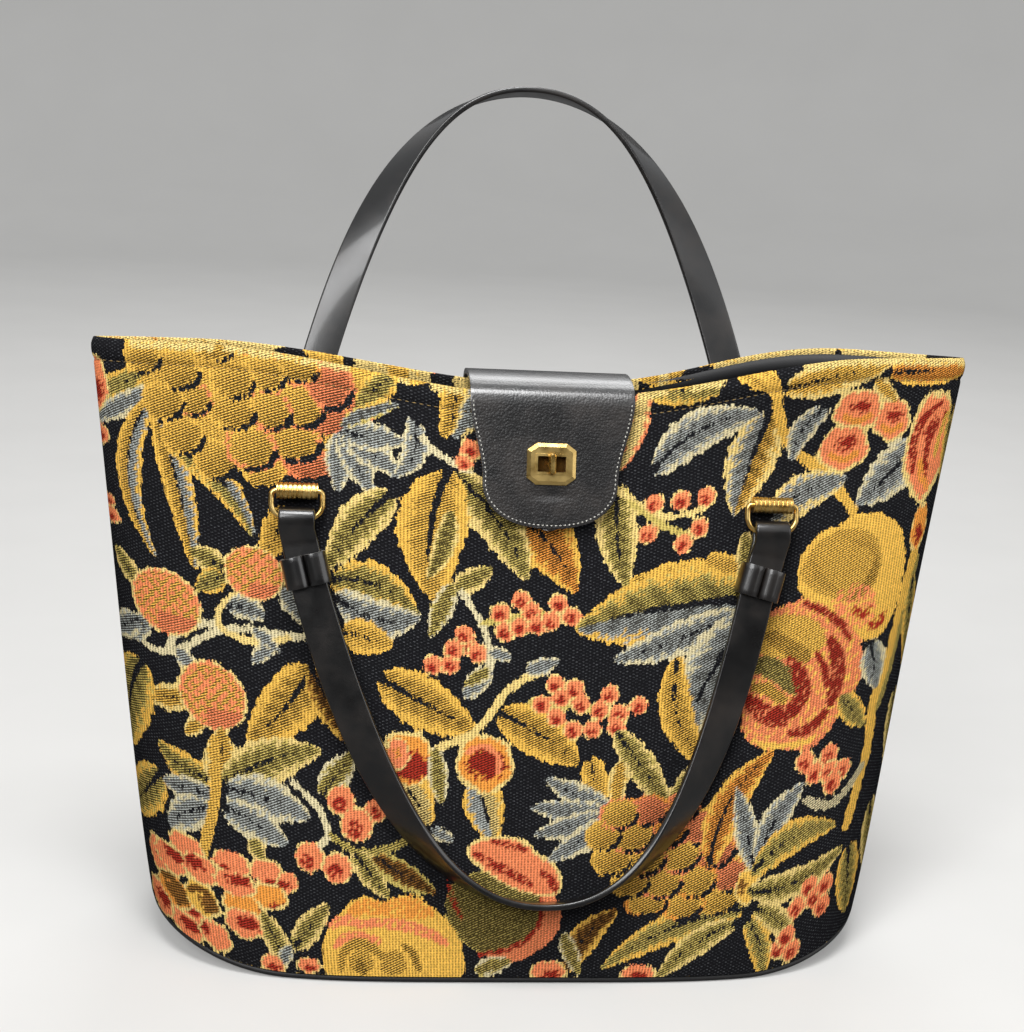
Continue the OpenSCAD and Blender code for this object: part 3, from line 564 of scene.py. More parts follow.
    curl([(-90, 2), (-89, 10), (-83, 15.5), (-75, 14.5), (-67, 8)], 4.5, "gold", 0.5)
    patch([(-86, 2), (-85, 10), (-79, 13), (-73, 9), (-74, 2)], "gold", 0.35)
    patch([(-84, 1), (-82, 7), (-78, 8), (-76, 1)], "gold", 0.75)
    patch([(-71, 1), (-68, 11), (-62, 13), (-57, 8), (-58, 1)], "gold", 0.4)
    curl([(-59, 15), (-53, 11), (-51, 3)], 3.4, "gold", 0.7)
    leaf((-23, 3), (-5, 8), 4.5, "cream", "olive", dark=0.7)

    # Upper right
    leaf((43, 268), (35, 232), 5, "coral", "pale", bend=2, dark=0.2)
    leaf((44, 268), (76, 264), 7, "gold", "olive", dark=0.7)
    leaf((46, 276), (66, 268), 5, "gold", "gold", dark=0.4)
    leaf((82, 276), (101, 262), 6, "gold", "gold", dark=0.4)
    leaf((102, 262), (150, 270), 8, "pale", "gold", dark=0.4)
    leaf((150, 267), (200, 267), 6.5, "gold", "orange", dark=0.4)
    leaf((49, 230), (95, 252), 10, "cream", "blue", bend=7, dark=0.65)
    leaf((98, 252), (87, 207), 11.5, "pale", "gold", dark=0.7, other="blue")
    stroke([(89, 272), (100, 262), (102, 247), (112, 232), (127, 223), (144, 204)], 4.4, "gold", 0.1)
    leaf((124, 253), (111, 228), 6, "cream", "blue", bend=-4, dark=0.65)
    leaf((34, 227), (41, 179), 9, "pale", "olive", bend=-2, dark=0.7)
    for cu, cv, ru, rv in ((139, 250, 12, 9.5), (157, 245, 9, 9.5), (135, 233, 12, 10.5)):
        floret(cu, cv, ru, rv, "coral", "red", (0.1, 0.2), 0.36)
        stroke([(cu - 0.5 * ru, cv - 0.3 * rv), (cu, cv - 0.6 * rv),
                (cu + 0.5 * ru, cv - 0.3 * rv)], 2.2, "orange", 0.1)
    leaf((145, 264), (158, 253), 3.5, "pale", "gold", dark=0.4)
    leaf((172, 235), (145, 207), 11.5, "cream", "blue", bend=2, dark=0.65)
    leaf((103, 204), (139, 219), 9, "pale", "blue", bend=3, dark=0.65)
    floret(181, 232, 14, 26, "coral", "red", (-0.1, 0.3), 0.2)
    curl([(184, 252), (174, 246), (170, 234), (173, 220)], 4.5, "red", 0.25, 0.85)
    curl([(188, 247), (181, 240), (179, 228), (182, 216)], 3.5, "red", 0.25, 0.85)
    curl([(192, 250), (187, 240), (186, 226)], 3.0, "gold", 0.15, 0.9)
    curl([(176, 226), (179, 216), (185, 211)], 4.0, "orange", 0.05, 0.9)
    floret(184, 192, 6, 11, "orange", "red")
    leaf((194, 252), (199, 208), 5.5, "gold", "olive", dark=0.7)
    stroke([(34, 224), (48, 212), (62, 208), (76, 213)], 1.6, "pale")
    stroke([(40, 218), (52, 208), (66, 200)], 1.5, "olive")
    for cu, cv in ((51, 216), (63, 216), (74, 216.5), (49, 202.5), (72, 203), (65, 196.5)):
        berry(cu, cv, 4.5)

    # Right: the great leaves, the fruit and the rose
    leaf((98, 172), (42, 182), 9, "gold", "gold", bend=-3, dark=0.5)
    leaf((99, 168), (19, 161), 18, "gold", "blue", bend=-4, dark=0.7, other="olive")
    leaf((94, 163), (36, 146), 8, "cream", "blue", bend=1, dark=0.7)
    leaf((101, 163), (72, 108), 15, "cream", "blue", bend=-4, dark=0.7)
    leaf((66, 146), (84, 96), 8, "gold", "gold", bend=-7, dark=0.5)
    leaf((76, 189), (95, 181), 4.5, "gold", "gold", dark=0.4)
    leaf((93, 199), (97, 167), 4.5, "pale", "olive", dark=0.7)
    stroke([(184, 178), (179, 150), (177, 128), (169, 112), (172, 92), (168, 74),
            (164, 56)], 6.0, "gold", 0.1)
    stroke([(188, 176), (183, 150), (180, 126), (174, 108)], 2.5, "olive", 0.5)
    patch([(120, 186), (125, 192), (131, 197), (136, 196.5), (140, 200), (148, 202), (156, 203), (164, 200),
           (171, 194), (176, 185), (178, 174), (177, 161), (174, 149), (168, 143), (160, 142), (140, 155),
           (122, 168), (119, 177)], "gold", 0.06)
    patch([(122, 184), (131, 194), (145, 197), (158, 192), (163, 180), (161, 168), (150, 161), (134, 167),
           (121, 175)], "gold", 0.3)
    curl([(146, 190), (156, 188), (161, 180)], 3.0, "gold", 0.5)
    curl([(160, 181), (159, 173), (154, 167), (147, 164)], 5.0, "gold", 0.7)
    curl([(126, 184), (130, 175), (139, 169)], 4.0, "gold", 0.5)
    patch([(138, 168), (150, 172), (162, 166), (164, 150), (156, 148), (140, 158)], "coral", 0.05, 0.6)
    curl([(150, 159), (156, 155), (160, 158)], 4.5, "red", 0.1, 0.7)
    curl([(160, 149), (165, 150), (170, 153)], 5.0, "red", 0.1, 0.8)
    rose = patch([(97, 158), (111, 163), (123, 167), (131, 165), (139, 160), (146, 155), (152, 150),
                  (157.5, 142), (160, 134), (159.5, 125), (155, 118), (150, 113), (147, 107), (141, 101),
                  (133, 98.5), (120, 100), (110, 101.5), (101, 106), (99, 116), (100, 130)], "coral", 0.1)
    lay(rose, "gold", 0.0, 0.22)
    patch([(100, 157), (113, 161), (127, 159), (137, 152), (138, 143), (128, 141), (112, 141),
           (101, 145)], "gold", 0.2)
    patch([(103, 107), (112, 104), (125, 102.5), (139, 104), (134, 100), (120, 101),
           (110, 102)], "gold", 0.0)
    curl([(108, 152), (117, 147), (129, 140)], 7.0, "gold", 0.7)
    curl([(101, 140), (113, 137), (125, 127)], 9.0, "olive", 0.8)
    curl([(103, 129), (111, 128), (119, 122)], 5.0, "gold", 0.6)
    curl([(124, 165), (136, 159.5), (145, 153), (151, 145)], 3.6, "red", 0.35, 0.85)
    curl([(140, 147), (145, 138), (147, 128), (144, 118)], 7.5, "red", 0.4, 0.85)
    curl([(133, 142), (139, 135), (141, 126)], 3.6, "red", 0.35, 0.8)
    curl([(120, 140), (126, 133), (129, 125), (125, 117), (115, 117)], 8.5, "red", 0.4, 0.85)
    curl([(101, 124), (109, 117), (120, 113)], 8.0, "red", 0.35, 0.8)
    curl([(124, 107), (134, 107), (142, 114)], 5.0, "red", 0.35, 0.8)
    leaf((163, 142), (171, 118), 7.5, "cream", "blue", dark=0.65)
    leaf((149, 120), (166, 102), 6, "gold", "olive", dark=0.7)
    leaf((186, 168), (194, 120), 6, "gold", "olive", dark=0.7)
    leaf((188, 112), (196, 66), 7, "pale", "olive", dark=0.7)

    # Lower right: second pineapple with its crown, star leaf and berries
    leaf((40, 114), (68, 78), 7, "pale", "olive", dark=0.7)
    leaf((28, 103), (36, 78), 6, "gold", "gold", dark=0.4)
    leaf((43, 100), (42, 79), 4.5, "pale", "gold", dark=0.5)
    leaf((68, 80), (87, 102), 5.5, "pale", "olive", dark=0.7)
    for tip in ((8, 93), (1, 80), (3, 67), (11, 55)):
        leaf((44, 75), tip, 6, "cream", "blue", dark=0.65)
    leaf((112, 30), (40, 4), 7.5, "gold", "olive", bend=-6)
    leaf((108, 24), (69, -2), 6.5, "pale", "olive", bend=-4)
    leaf((113, 26), (128, -3), 6, "gold", "olive", bend=2)
    leaf((116, 30), (142, 10), 5.5, "pale", "olive", bend=3)
    patch([(32, 68), (42, 82), (60, 83), (78, 82), (92, 66), (106, 50), (106, 34), (90, 29), (66, 30),
           (48, 42)], "orange", 0.3)
    for row in (
            (97, 35, 10, 6.5, "gold", "gold"), (79, 33, 10, 6, "gold", "orange"),
            (61, 35, 10, 6, "gold", "orange"), (101, 46, 9, 7.5, "coral", "gold"),
            (84, 44, 10, 7.5, "gold", "orange"), (67, 44, 10, 7, "gold", "coral"),
            (52, 45, 9, 7, "gold", "gold"), (92, 57, 10, 7.5, "coral", "orange"),
            (75, 56, 10, 7.5, "gold", "coral"), (58, 55, 10, 7.5, "gold", "coral"),
            (42, 55, 9, 7, "gold", "gold"), (83, 68, 9, 7.5, "coral", "gold"),
            (67, 67, 10, 7.5, "orange", "coral"), (51, 66, 10, 7.5, "gold", "coral"),
            (37, 66, 8, 6.5, "gold", "gold"), (73, 77, 9, 6.5, "coral", "coral"),
            (58, 77, 10, 6.5, "coral", "orange"), (44, 76, 9, 6.5, "gold", "coral")):
        scale(*row)
    floret(111, 40, 6, 8, "gold", "brown", (-0.4, 0.0), 0.4, 0.3)
    leaf((90, 50), (117, 100), 9, "gold", "orange", bend=7)
    leaf((114, 47), (100, 85), 6, "cream", "blue", dark=0.65)
    leaf((115, 49), (135, 84), 7.5, "cream", "blue", bend=4, dark=0.65)
    leaf((112, 45), (158, 59), 8, "gold", "olive", bend=8)
    leaf((111, 38), (165, 47), 7, "pale", "olive", bend=-4, dark=0.7)
    leaf((23, 3), (47, 32), 7, "gold", "brown", bend=4, dark=0.8)
    leaf((20, 21), (30, 1), 4.5, "cream", "olive", dark=0.7)
    floret(14, 3, 9, 5)
    floret(60, 2, 9, 4)
    stroke([(137, 75), (148, 70), (158, 71), (169, 82)], 3.8, "cream", 0.3)
    for cu, cv in (
            (134, 93), (147, 94), (140, 87), (148, 86), (156, 85), (151, 80), (146, 34), (150, 28),
            (156, 22), (140, 26), (156, 32), (134, 9), (142, 6), (137, 14)):
        berry(cu, cv, 5.2)
    leaf((168, 46), (176, 8), 8, "gold", "olive", dark=0.7)
    leaf((182, 60), (190, 20), 7, "pale", "olive", dark=0.7)

    # Painted highlight: where light from above falls on the hem's roll, its top edge is laid in pale gold
    # thread, in patches with black between.
    hem_highlight_patches = np.sin(u * 0.11) + np.sin(u * 0.043 + 1.0) + 0.8 * np.sin(u * 0.29) > -0.5
    lay((below < 2.2 + 2.0 * ragged) & hem_highlight_patches, "pale", 0.15, 0.85)
    return colour, shown, hatch


def soft_edges(colour, shown, order, shape):
    """Carries each figure's colour a little past its edge and softens the edge, for the weave to cut."""
    tint, cover = colour[order].reshape(*shape, 3), shown[order].reshape(shape)
    known = tint.any(axis=2)
    sides = ((1, 0), (-1, 0), (1, 1), (-1, 1))
    for _ in range(4):
        around = sum(np.roll(known, step, axis).astype(int) for step, axis in sides)
        spread = sum(np.roll(tint * known[..., None], step, axis) for step, axis in sides)
        fresh = ~known & (around > 0)
        tint[fresh] = spread[fresh] / around[fresh][:, None]
        known |= fresh
    for axis in (0, 0, 1):
        cover = 0.5 * cover + 0.25 * (np.roll(cover, 1, axis) + np.roll(cover, -1, axis))
    back = np.argsort(order)
    return tint.reshape(-1, 3)[back], cover.ravel()[back]


# The weave: columns of short floats with dark pricks staggered between them. Hatched fields have dark lines
# of weft that grow thicker with the hatching. Figures end raggedly, thread by thread, and the black ground
# has grey specks.
column_mm, prick_mm, weft_mm, weft_slant = 1.55, 0.75, 1.05, math.radians(-23.0)
gap_colour, ground_colour, speck_colour = paint((30, 24, 18)), paint((25, 25, 27)), paint((80, 81, 84))
tapestry_finish, add, join = new_finish("tapestry_weave", 0.9, Specular_IOR_Level=0.0)


def weigh(operation, *values):
    """One step of arithmetic in the weave's shader."""
    return add("Math", dict(enumerate(values)), operation=operation).outputs[0]


def ramp(value, low, high, start=0.0, end=1.0):
    """Goes from start to end as the value goes from low to high."""
    return add("MapRange", {0: value, 1: low, 2: high, 3: start, 4: end},
               interpolation_type="SMOOTHSTEP").outputs[0]


def ripple(along, pitch):
    """A wave from -1 to 1."""
    return weigh("COSINE", weigh("MULTIPLY", along, 2.0 * math.pi / pitch))


thread = add("Attribute", attribute_name="thread")
hatching = add("Attribute", attribute_name="hatching").outputs["Fac"]
cloth_mm = add("UVMap", uv_map="cloth_mm").outputs[0]
across_cloth, up_cloth, _ = add("SeparateXYZ", {0: cloth_mm}).outputs
fuzz = add("TexNoise", {"Vector": cloth_mm, "Scale": 0.9, "Detail": 3.0},
           noise_dimensions="2D").outputs["Fac"]
one_thread = add("VectorMath", {0: cloth_mm, 1: (column_mm / 2.0, 2.0 * prick_mm, 1.0)},
                 operation="SNAP").outputs[0]
chance = add("TexWhiteNoise", {"Vector": one_thread}).outputs["Value"]
figure = ramp(weigh("ADD", thread.outputs["Alpha"], weigh("MULTIPLY_ADD", chance, 0.44, -0.22)), 0.40, 0.54)
lattice = weigh("MULTIPLY", ripple(across_cloth, 2.0 * column_mm), ripple(up_cloth, 2.0 * prick_mm))
prick = ramp(weigh("ABSOLUTE", lattice), 0.35, 0.95, 0.0, 0.78)
slanted = add("Mapping", {"Vector": cloth_mm, "Rotation": (0.0, 0.0, weft_slant)}).outputs[0]
weft = ripple(add("SeparateXYZ", {0: slanted}).outputs[1], weft_mm)
drawn = weigh("ADD", weigh("MULTIPLY_ADD", weft, 0.5, hatching), weigh("MULTIPLY", fuzz, 1.3))
line = weigh("MULTIPLY", ramp(drawn, 1.02, 1.18), ramp(hatching, 0.03, 0.15, 0.0, 0.92))
gap = weigh("MAXIMUM", prick, line)
tone = weigh("MULTIPLY", ramp(fuzz, 0.25, 0.75, 0.82, 1.15), weigh("MULTIPLY_ADD", chance, 0.24, 0.9))
lit_thread = add("VectorMath", {0: thread.outputs["Color"], "Scale": tone}, operation="SCALE").outputs[0]
woven = blend_colours(add, gap, lit_thread, gap_colour)
speck_tone = weigh("MULTIPLY", ramp(fuzz, 0.35, 0.7, 0.1, 1.0), weigh("MULTIPLY_ADD", chance, 0.9, 0.35))
speck = weigh("MULTIPLY", ramp(lattice, 0.15, 0.8), speck_tone)
ground = blend_colours(add, speck, ground_colour, speck_colour)
join(blend_colours(add, figure, ground, woven), "Base Color")
relief = weigh("SUBTRACT", weigh("MULTIPLY", thread.outputs["Alpha"], 0.5), prick)
join(add("Bump", {"Height": relief, "Strength": 0.5, "Distance": 0.3 * MM}).outputs[0], "Normal")

across_s = np.sin(np.radians(np.linspace(-90.0, 90.0, 721)))
mid_z = mix(seam_z(across_s) + panel_foot, rim_z(across_s) + droop(across_s), 0.5)
mid_line = np.stack([half_width(mid_z) * across_s, wall_depth(across_s, mid_z)], 1)
across_u = steps_along(mid_line)
across_u -= across_u[len(across_u) // 2]
cloth_half = across_u[-1]
cloth_cols, cloth_rows = round(2.0 * cloth_half / cell), round(cloth_h / cell)
lip_rows, turn_rows = 8, 4


def hem_puff(below):
    """How far the hem stands off the wall, below the rim by that much: a soft roll over a stitched groove."""
    roll = 0.6 * np.sin(np.pi * np.clip(below / hem_h, 0.0, 1.0))
    return roll - 0.5 * bump(below, hem_h, 0.9) - 0.6 * bump(below, 0.0, 1.0)


def tapestry_panel(name, facing):
    """One wall's cloth, turned in at the rim, with the pattern painted on its vertices."""
    spot = {}

    def place(column, row):
        u = (column / cloth_cols * 2.0 - 1.0) * cloth_half
        s = np.interp(u, across_u, across_s)
        low, top = seam_z(s) + panel_foot, rim_z(s)
        z = mix(low, top, np.minimum(1.0, row / cloth_rows))
        folded = np.maximum(0.0, row - cloth_rows)
        over = np.minimum(turn_rows, folded) / turn_rows
        inward = (1.0 - np.cos(np.pi * over)) * cloth_t / 2.0
        point = off_wall(s, z, hem_puff(top - z) - inward)
        point[:, 2] += np.sin(np.pi * over) * cloth_t / 2.0 - np.maximum(0.0, folded - turn_rows)
        spot.update(u=u, v=cloth_h * (z - low) / (top + droop(s) - low) + folded, below=top - z,
                    order=np.lexsort((np.rint(column), np.rint(row))))
        return point * (1.0, -facing, 1.0)

    bm = mapped_grid(cloth_cols, cloth_rows + lip_rows, place, flip=facing > 0)
    panel = finished_piece(bm, name + "_cloth", tapestry_finish)
    cloth = panel.data
    corner = np.zeros(len(cloth.loops), int)
    cloth.loops.foreach_get("vertex_index", corner)
    u = -facing * spot["u"]
    cloth.uv_layers.new(name="cloth_mm").data.foreach_set("uv", np.stack([u, spot["v"]], 1)[corner].ravel())
    colour, shown, hatch = tapestry(u, spot["v"], spot["below"])
    colour, shown = soft_edges(colour, shown, spot["order"], (cloth_rows + lip_rows + 1, cloth_cols + 1))
    cloth.attributes.new("thread", "FLOAT_COLOR", "POINT").data.foreach_set(
        "color", np.concatenate([colour, shown[:, None]], 1).ravel())
    cloth.attributes.new("hatching", "FLOAT", "POINT").data.foreach_set("value", hatch)
    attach(panel, "bag")
    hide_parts(name + "_panel")


tapestry_panel("front", -1.0)
tapestry_panel("back", 1.0)


# Hem stitches: short stitches of yellow sewing thread, in a row round the bag below the rim.
# They hold the turned-in hem of both walls.
def even_steps(line, pitch):
    """Points at an even pitch along a line, and the line's direction at each."""
    far = steps_along(line)
    at = np.arange(pitch / 2.0, far[-1], pitch)
    points, ahead, behind = (np.stack([np.interp(at + step, far, line[:, axis]) for axis in range(3)], 1)
                             for step in (0.0, 0.3, -0.3))
    return points, unit(ahead - behind)


def stitch_row(name, points, ways, outs, length, thick, finish):
    """One low rounded stitch at each point, lying along its way."""
    size = Matrix.Diagonal((length / 2 * MM, thick / 2 * MM, thick / 3 * MM, 1.0))
    bm = bmesh.new()
    for point, way, out in zip(points, ways, outs):
        turn = Matrix((way, np.cross(out, way), out)).transposed().to_4x4()
        bmesh.ops.create_icosphere(bm, subdivisions=1, radius=1.0,
                                   matrix=Matrix.Translation(point * MM) @ turn @ size)
    return finished_piece(bm, name, finish)


def thread_finish(name, colour, shade):
    """Twisted sewing thread."""
    finish, add, join = new_finish(name, 0.8, Sheen_Weight=0.2)
    twist = add("TexWave", {"Vector": add("TexCoord").outputs["Object"], "Scale": 500.0, "Distortion": 2.0})
    join(blend_colours(add, twist.outputs["Fac"], paint(shade), paint(colour)), "Base Color")
    return finish


hem_pitch, hem_stitch, hem_stitch_t, hem_sink = 3.3, 2.3, 0.42, 0.25
hem_thread = thread_finish("hem_thread", (168, 138, 76), (112, 88, 44))
hem_s = np.sin(np.radians(np.linspace(-86.0, 86.0, 400)))
hem_line = off_wall(hem_s, rim_z(hem_s) - hem_h, 0.0 * hem_s - hem_sink)
points, ways = even_steps(hem_line, hem_pitch)
outs = wall_out(points[:, 0] / half_width(points[:, 2]), points[:, 2])
for name, side in (("front", 1.0), ("back", -1.0)):
    mirrored = np.array((1.0, side, 1.0))
    row = stitch_row(name + "_hem_stitches", points * mirrored, ways * mirrored, outs * mirrored,
                     hem_stitch, hem_stitch_t, hem_thread)
    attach(row, "bag")


# Base: black coated cloth stretched under the bag, sewn to the walls with a round piping in the seam.
# A stiff fibreboard lies on it inside.
cover_inset, cover_t, piping_r = 3.15, 2.0, 1.5
base_cols, base_rows = 90, 24


def thickened(piece, depth, offset=-1.0, edge=0.0):
    """Gives a skin its thickness, on the side away from its faces unless offset says otherwise."""
    solid = piece.modifiers.new("thickness", "SOLIDIFY")
    solid.thickness, solid.offset = depth * MM, offset
    if edge:
        rounding = piece.modifiers.new("edge", "BEVEL")
        rounding.width, rounding.segments, rounding.limit_method = edge * MM, 2, "ANGLE"
    return piece


def swept(name, middle, across, out, section, finish, closed=False):
    """A bar of one section, in millimetres across and out, carried along a line of stations."""
    ring = np.vstack([section, section[:1]])

    def place(column, row):
        k, at = np.rint(column).astype(int), np.rint(row).astype(int)
        return middle[at] + across[at] * ring[k, :1] + out[at] * ring[k, 1:]

    bm = mapped_grid(len(section), len(middle) - 1, place)
    bmesh.ops.remove_doubles(bm, verts=bm.verts, dist=1e-6)
    if not closed:
        bmesh.ops.holes_fill(bm, edges=bm.edges, sides=0)
    bmesh.ops.recalc_face_normals(bm, faces=bm.faces)
    return finished_piece(bm, name, finish)


vinyl, add, join = new_finish("black_coated_cloth", 0.5, Specular_IOR_Level=0.4)
spot = add("TexCoord").outputs["Object"]
pebble = add("TexVoronoi", {"Vector": spot, "Scale": 900.0})
scuff = add("TexNoise", {"Vector": spot, "Scale": 60.0, "Detail": 5.0})
join(blend_colours(add, scuff.outputs["Fac"], paint((24, 24, 25)), paint((42, 41, 41))), "Base Color")
pebbled = add("Bump", {"Height": pebble.outputs["Distance"], "Strength": 0.35, "Distance": 0.2 * MM})
join(pebbled.outputs[0], "Normal")


def seam_point(s, inset):
    """A point on the front half of the base seam, that far inside the wall's outline."""
    point = off_wall(s, seam_z(s), 0.0 * s - inset)
    point[..., 2] = seam_z(s)
    return point


def base_place(column, row):
    """Rows run from the front half of the seam to its back half."""
    s = np.sin((column / base_cols - 0.5) * np.pi)
    point = seam_point(s, cover_inset)
    point[:, 1] *= 1.0 - 2.0 * row / base_rows
    return point


bm = mapped_grid(base_cols, base_rows, base_place, flip=True)
base_cover = thickened(finished_piece(bm, "base_cloth", vinyl), cover_t)
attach(base_cover, "bag")
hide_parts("base_cover")

round_s = np.sin(np.radians(np.linspace(-90.0, 90.0, 121)))
half_loop = seam_point(round_s, piping_r)
half_loop[:, 2] += piping_r
loop = np.vstack([half_loop, (half_loop * (1.0, -1.0, 1.0))[-2:0:-1], half_loop[:1]])
loop_way = np.roll(loop, -1, 0) - np.roll(loop, 1, 0)
loop_way[0] = loop_way[-1] = loop[1] - loop[-2]
loop_way = unit(loop_way)
loop_side = unit(np.cross(loop_way, (0.0, 0.0, 1.0)))
turns = np.radians(np.arange(0.0, 360.0, 30.0))
piping = swept("base_seam_piping", loop, loop_side, np.cross(loop_side, loop_way),
               piping_r * np.stack([np.cos(turns), np.sin(turns)], 1), vinyl, closed=True)
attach(piping, "bag")
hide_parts("base_piping")

fibreboard, add, join = new_finish("fibreboard", 0.85)
fibres = add("TexNoise", {"Vector": add("TexCoord").outputs["Object"], "Scale": 320.0, "Detail": 6.0})
join(blend_colours(add, fibres.outputs["Fac"], paint((104, 82, 56)), paint((158, 130, 96))), "Base Color")


def dress(node, finish):
    """Puts a finish on a CAD node that stays."""
    node_object = bpy.data.objects[node]
    node_object.data.materials.clear()
    node_object.data.materials.append(finish)
    return node_object


dress("base_board", fibreboard)


# Lining: a bag of thin black satin in one piece, down the front wall, over the board and up the back wall.
# It is sewn in under the hem and hangs a little slack.
lining_in, lining_foot, lining_end, lining_drop = 3.5, 5.45, 0.94, 1.5
lining_t, slack_deep = 0.6, 0.9
lining_cols, wall_rows, floor_rows = 80, 40, 24
lining_rows = 2 * wall_rows + floor_rows
satin, add, join = new_finish("black_satin", 0.45, Specular_IOR_Level=0.22)
spot = add("TexCoord").outputs["Object"]
fold_shade = add("TexNoise", {"Vector": spot, "Scale": 24.0, "Detail": 3.0})
twill = add("TexWave", {"Vector": spot, "Scale": 420.0, "Distortion": 0.4}, bands_direction="DIAGONAL")
# Painted shade: the satin goes darker and lighter in soft patches, for the shade of its folds.
join(blend_colours(add, fold_shade.outputs["Fac"], paint((8, 8, 9)), paint((17, 17, 19))), "Base Color")
ribbed = add("Bump", {"Height": twill.outputs["Fac"], "Strength": 0.15, "Distance": 0.1 * MM})
join(ribbed.outputs[0], "Normal")


def lining_place(column, row):
    """Rows run down the front wall, across the board and up the back wall."""
    s = lining_end * np.sin((column / lining_cols - 0.5) * np.pi)
    from_middle = lining_rows / 2 - row
    up = np.clip(np.abs(from_middle) - floor_rows / 2, 0.0, wall_rows) / wall_rows
    low, top = seam_z(s / lining_end) + lining_foot, rim_z(s) - lining_drop
    z = mix(low, top, up)
    slack = slack_deep * np.sin(s * 14.0 + z * 0.02) * np.sin(np.pi * up) * (1.0 - s ** 4)
    point = off_wall(s, z, -lining_in + 1.2 * smooth(0.93, 1.0, up) - np.abs(slack))
    point[:, 1] *= np.clip(from_middle / (floor_rows / 2), -1.0, 1.0)
    return point


bm = mapped_grid(lining_cols, lining_rows, lining_place)
bmesh.ops.remove_doubles(bm, verts=bm.verts, dist=2e-5)
bmesh.ops.recalc_face_normals(bm, faces=bm.faces)
lining = thickened(finished_piece(bm, "satin_lining", satin), lining_t)
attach(lining, "bag")
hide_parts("lining")


# Flap: two layers of pebbled black leather, sewn to the back wall, folded over the rim and down the front,
# with a row of pale stitches round its edge and an opening for the lock.
flap_w, flap_end_w, flap_len, flap_tail, flap_x = 74.0, 61.0, 56.0, 42.0, 5.0
flap_stand, tail_stand, flap_crown, tip_len, tip_power = 2.9, 1.0, 6.0, 21.0, 2.3
flap_t, layer_gap, flap_cols = 1.2, 0.05, 48
lock_drop, lock_span, opening_half = 28.0, 11.25, (6.9, 4.1)
dent_drop, dent_deep = 41.5, 0.5
fold_step, fold_soft, soft_steps = 0.25, 2.9, 28
tip_start, rim_mid = flap_len - tip_len, body_h - rim_dip - left_droop


def flap_depth(z):
    """How far the wall under the flap reaches from the middle plane."""
    places = flap_x + flap_w * np.linspace(-0.5, 0.5, 5)
    return np.max([wall_depth(x / half_width(z), z) for x in places], 0)


tail_drops = np.array([flap_tail, 28.0, 14.0, 7.0])
crown_turns = np.radians(np.arange(0.0, 181.0, 15.0))
lock_top = lock_drop - lock_span
front_drops = np.array([0.4 * lock_top, 0.8 * lock_top, lock_top, lock_drop + lock_span, 48.0, flap_len])
rim_reach = flap_depth(np.array(rim_mid))
back_reach, front_reach = rim_reach + tail_stand, rim_reach + flap_stand
fold_corners = np.vstack([
    np.stack([flap_depth(rim_mid - tail_drops) + tail_stand, rim_mid - tail_drops], 1),
    np.stack([mix(back_reach, -front_reach, 0.5 - 0.5 * np.cos(crown_turns)),
              rim_mid + flap_crown * np.sin(crown_turns)], 1),
    np.stack([-flap_depth(rim_mid - front_drops) - flap_stand, rim_mid - front_drops], 1)])

# The line is cut into short steps, carried on past both ends, and averaged over its neighbours.
corner_far = steps_along(fold_corners)
fine_far = np.arange(0.0, corner_far[-1], fold_step)
fine_line = np.stack([np.interp(fine_far, corner_far, fold_corners[:, axis]) for axis in (0, 1)], 1)
weights = bump(np.arange(-soft_steps, soft_steps + 1) * fold_step, 0.0, fold_soft)
before = 2.0 * fine_line[0] - fine_line[soft_steps:0:-1]
after = 2.0 * fine_line[-1] - fine_line[-2:-2 - soft_steps:-1]
carried_on = np.vstack([before, fine_line, after])
shares = weights / weights.sum()
fold_line = np.stack([np.convolve(carried_on[:, axis], shares, "valid") for axis in (0, 1)], 1)
fold_far = steps_along(fold_line)
fold_top = int(np.argmax(fold_line[:, 1]))


def on_fold(far, out):
    """The flap's depth and height at a distance along it, and the direction it faces there."""
    spots = [np.stack([np.interp(far + step, fold_far, fold_line[:, axis]) for axis in (0, 1)], 1)
             for step in (0.0, 1.5, -1.5)]
    way = unit(spots[1] - spots[2])
    facing = np.stack([way[:, 1], -way[:, 0]], 1)
    return spots[0] + facing * np.asarray(out)[..., None], facing


def far_at(drop):
    """Distance along the flap of a point on its front, that far below the rim."""
    return np.interp(drop, rim_mid - fold_line[fold_top:, 1], fold_far[fold_top:])


def half_at(drop, inset=0.0):
    """Half the flap's width there: it narrows a little and ends in a full round."""
    round_off = np.clip((drop - tip_start) / (tip_len - inset), 0.0, 1.0) ** tip_power
    side = mix(flap_w, flap_end_w, smooth(0.0, tip_start, drop)) / 2.0 - inset
    return side * np.maximum(1e-6, 1.0 - round_off) ** (1.0 / tip_power)


tip_turns = np.radians(np.linspace(0.0, 90.0, 26))[1:]
tip_drops = tip_start + tip_len * np.sin(tip_turns) ** (2.0 / tip_power)
over_rows = np.linspace(0.0, far_at(0.0), 70)
front_rows = np.concatenate([np.linspace(1.0, tip_start, 40), tip_drops])
flap_rows = np.concatenate([over_rows, far_at(front_rows)])
drops = np.concatenate([0.0 * over_rows, front_rows])
flap_half = half_at(drops)


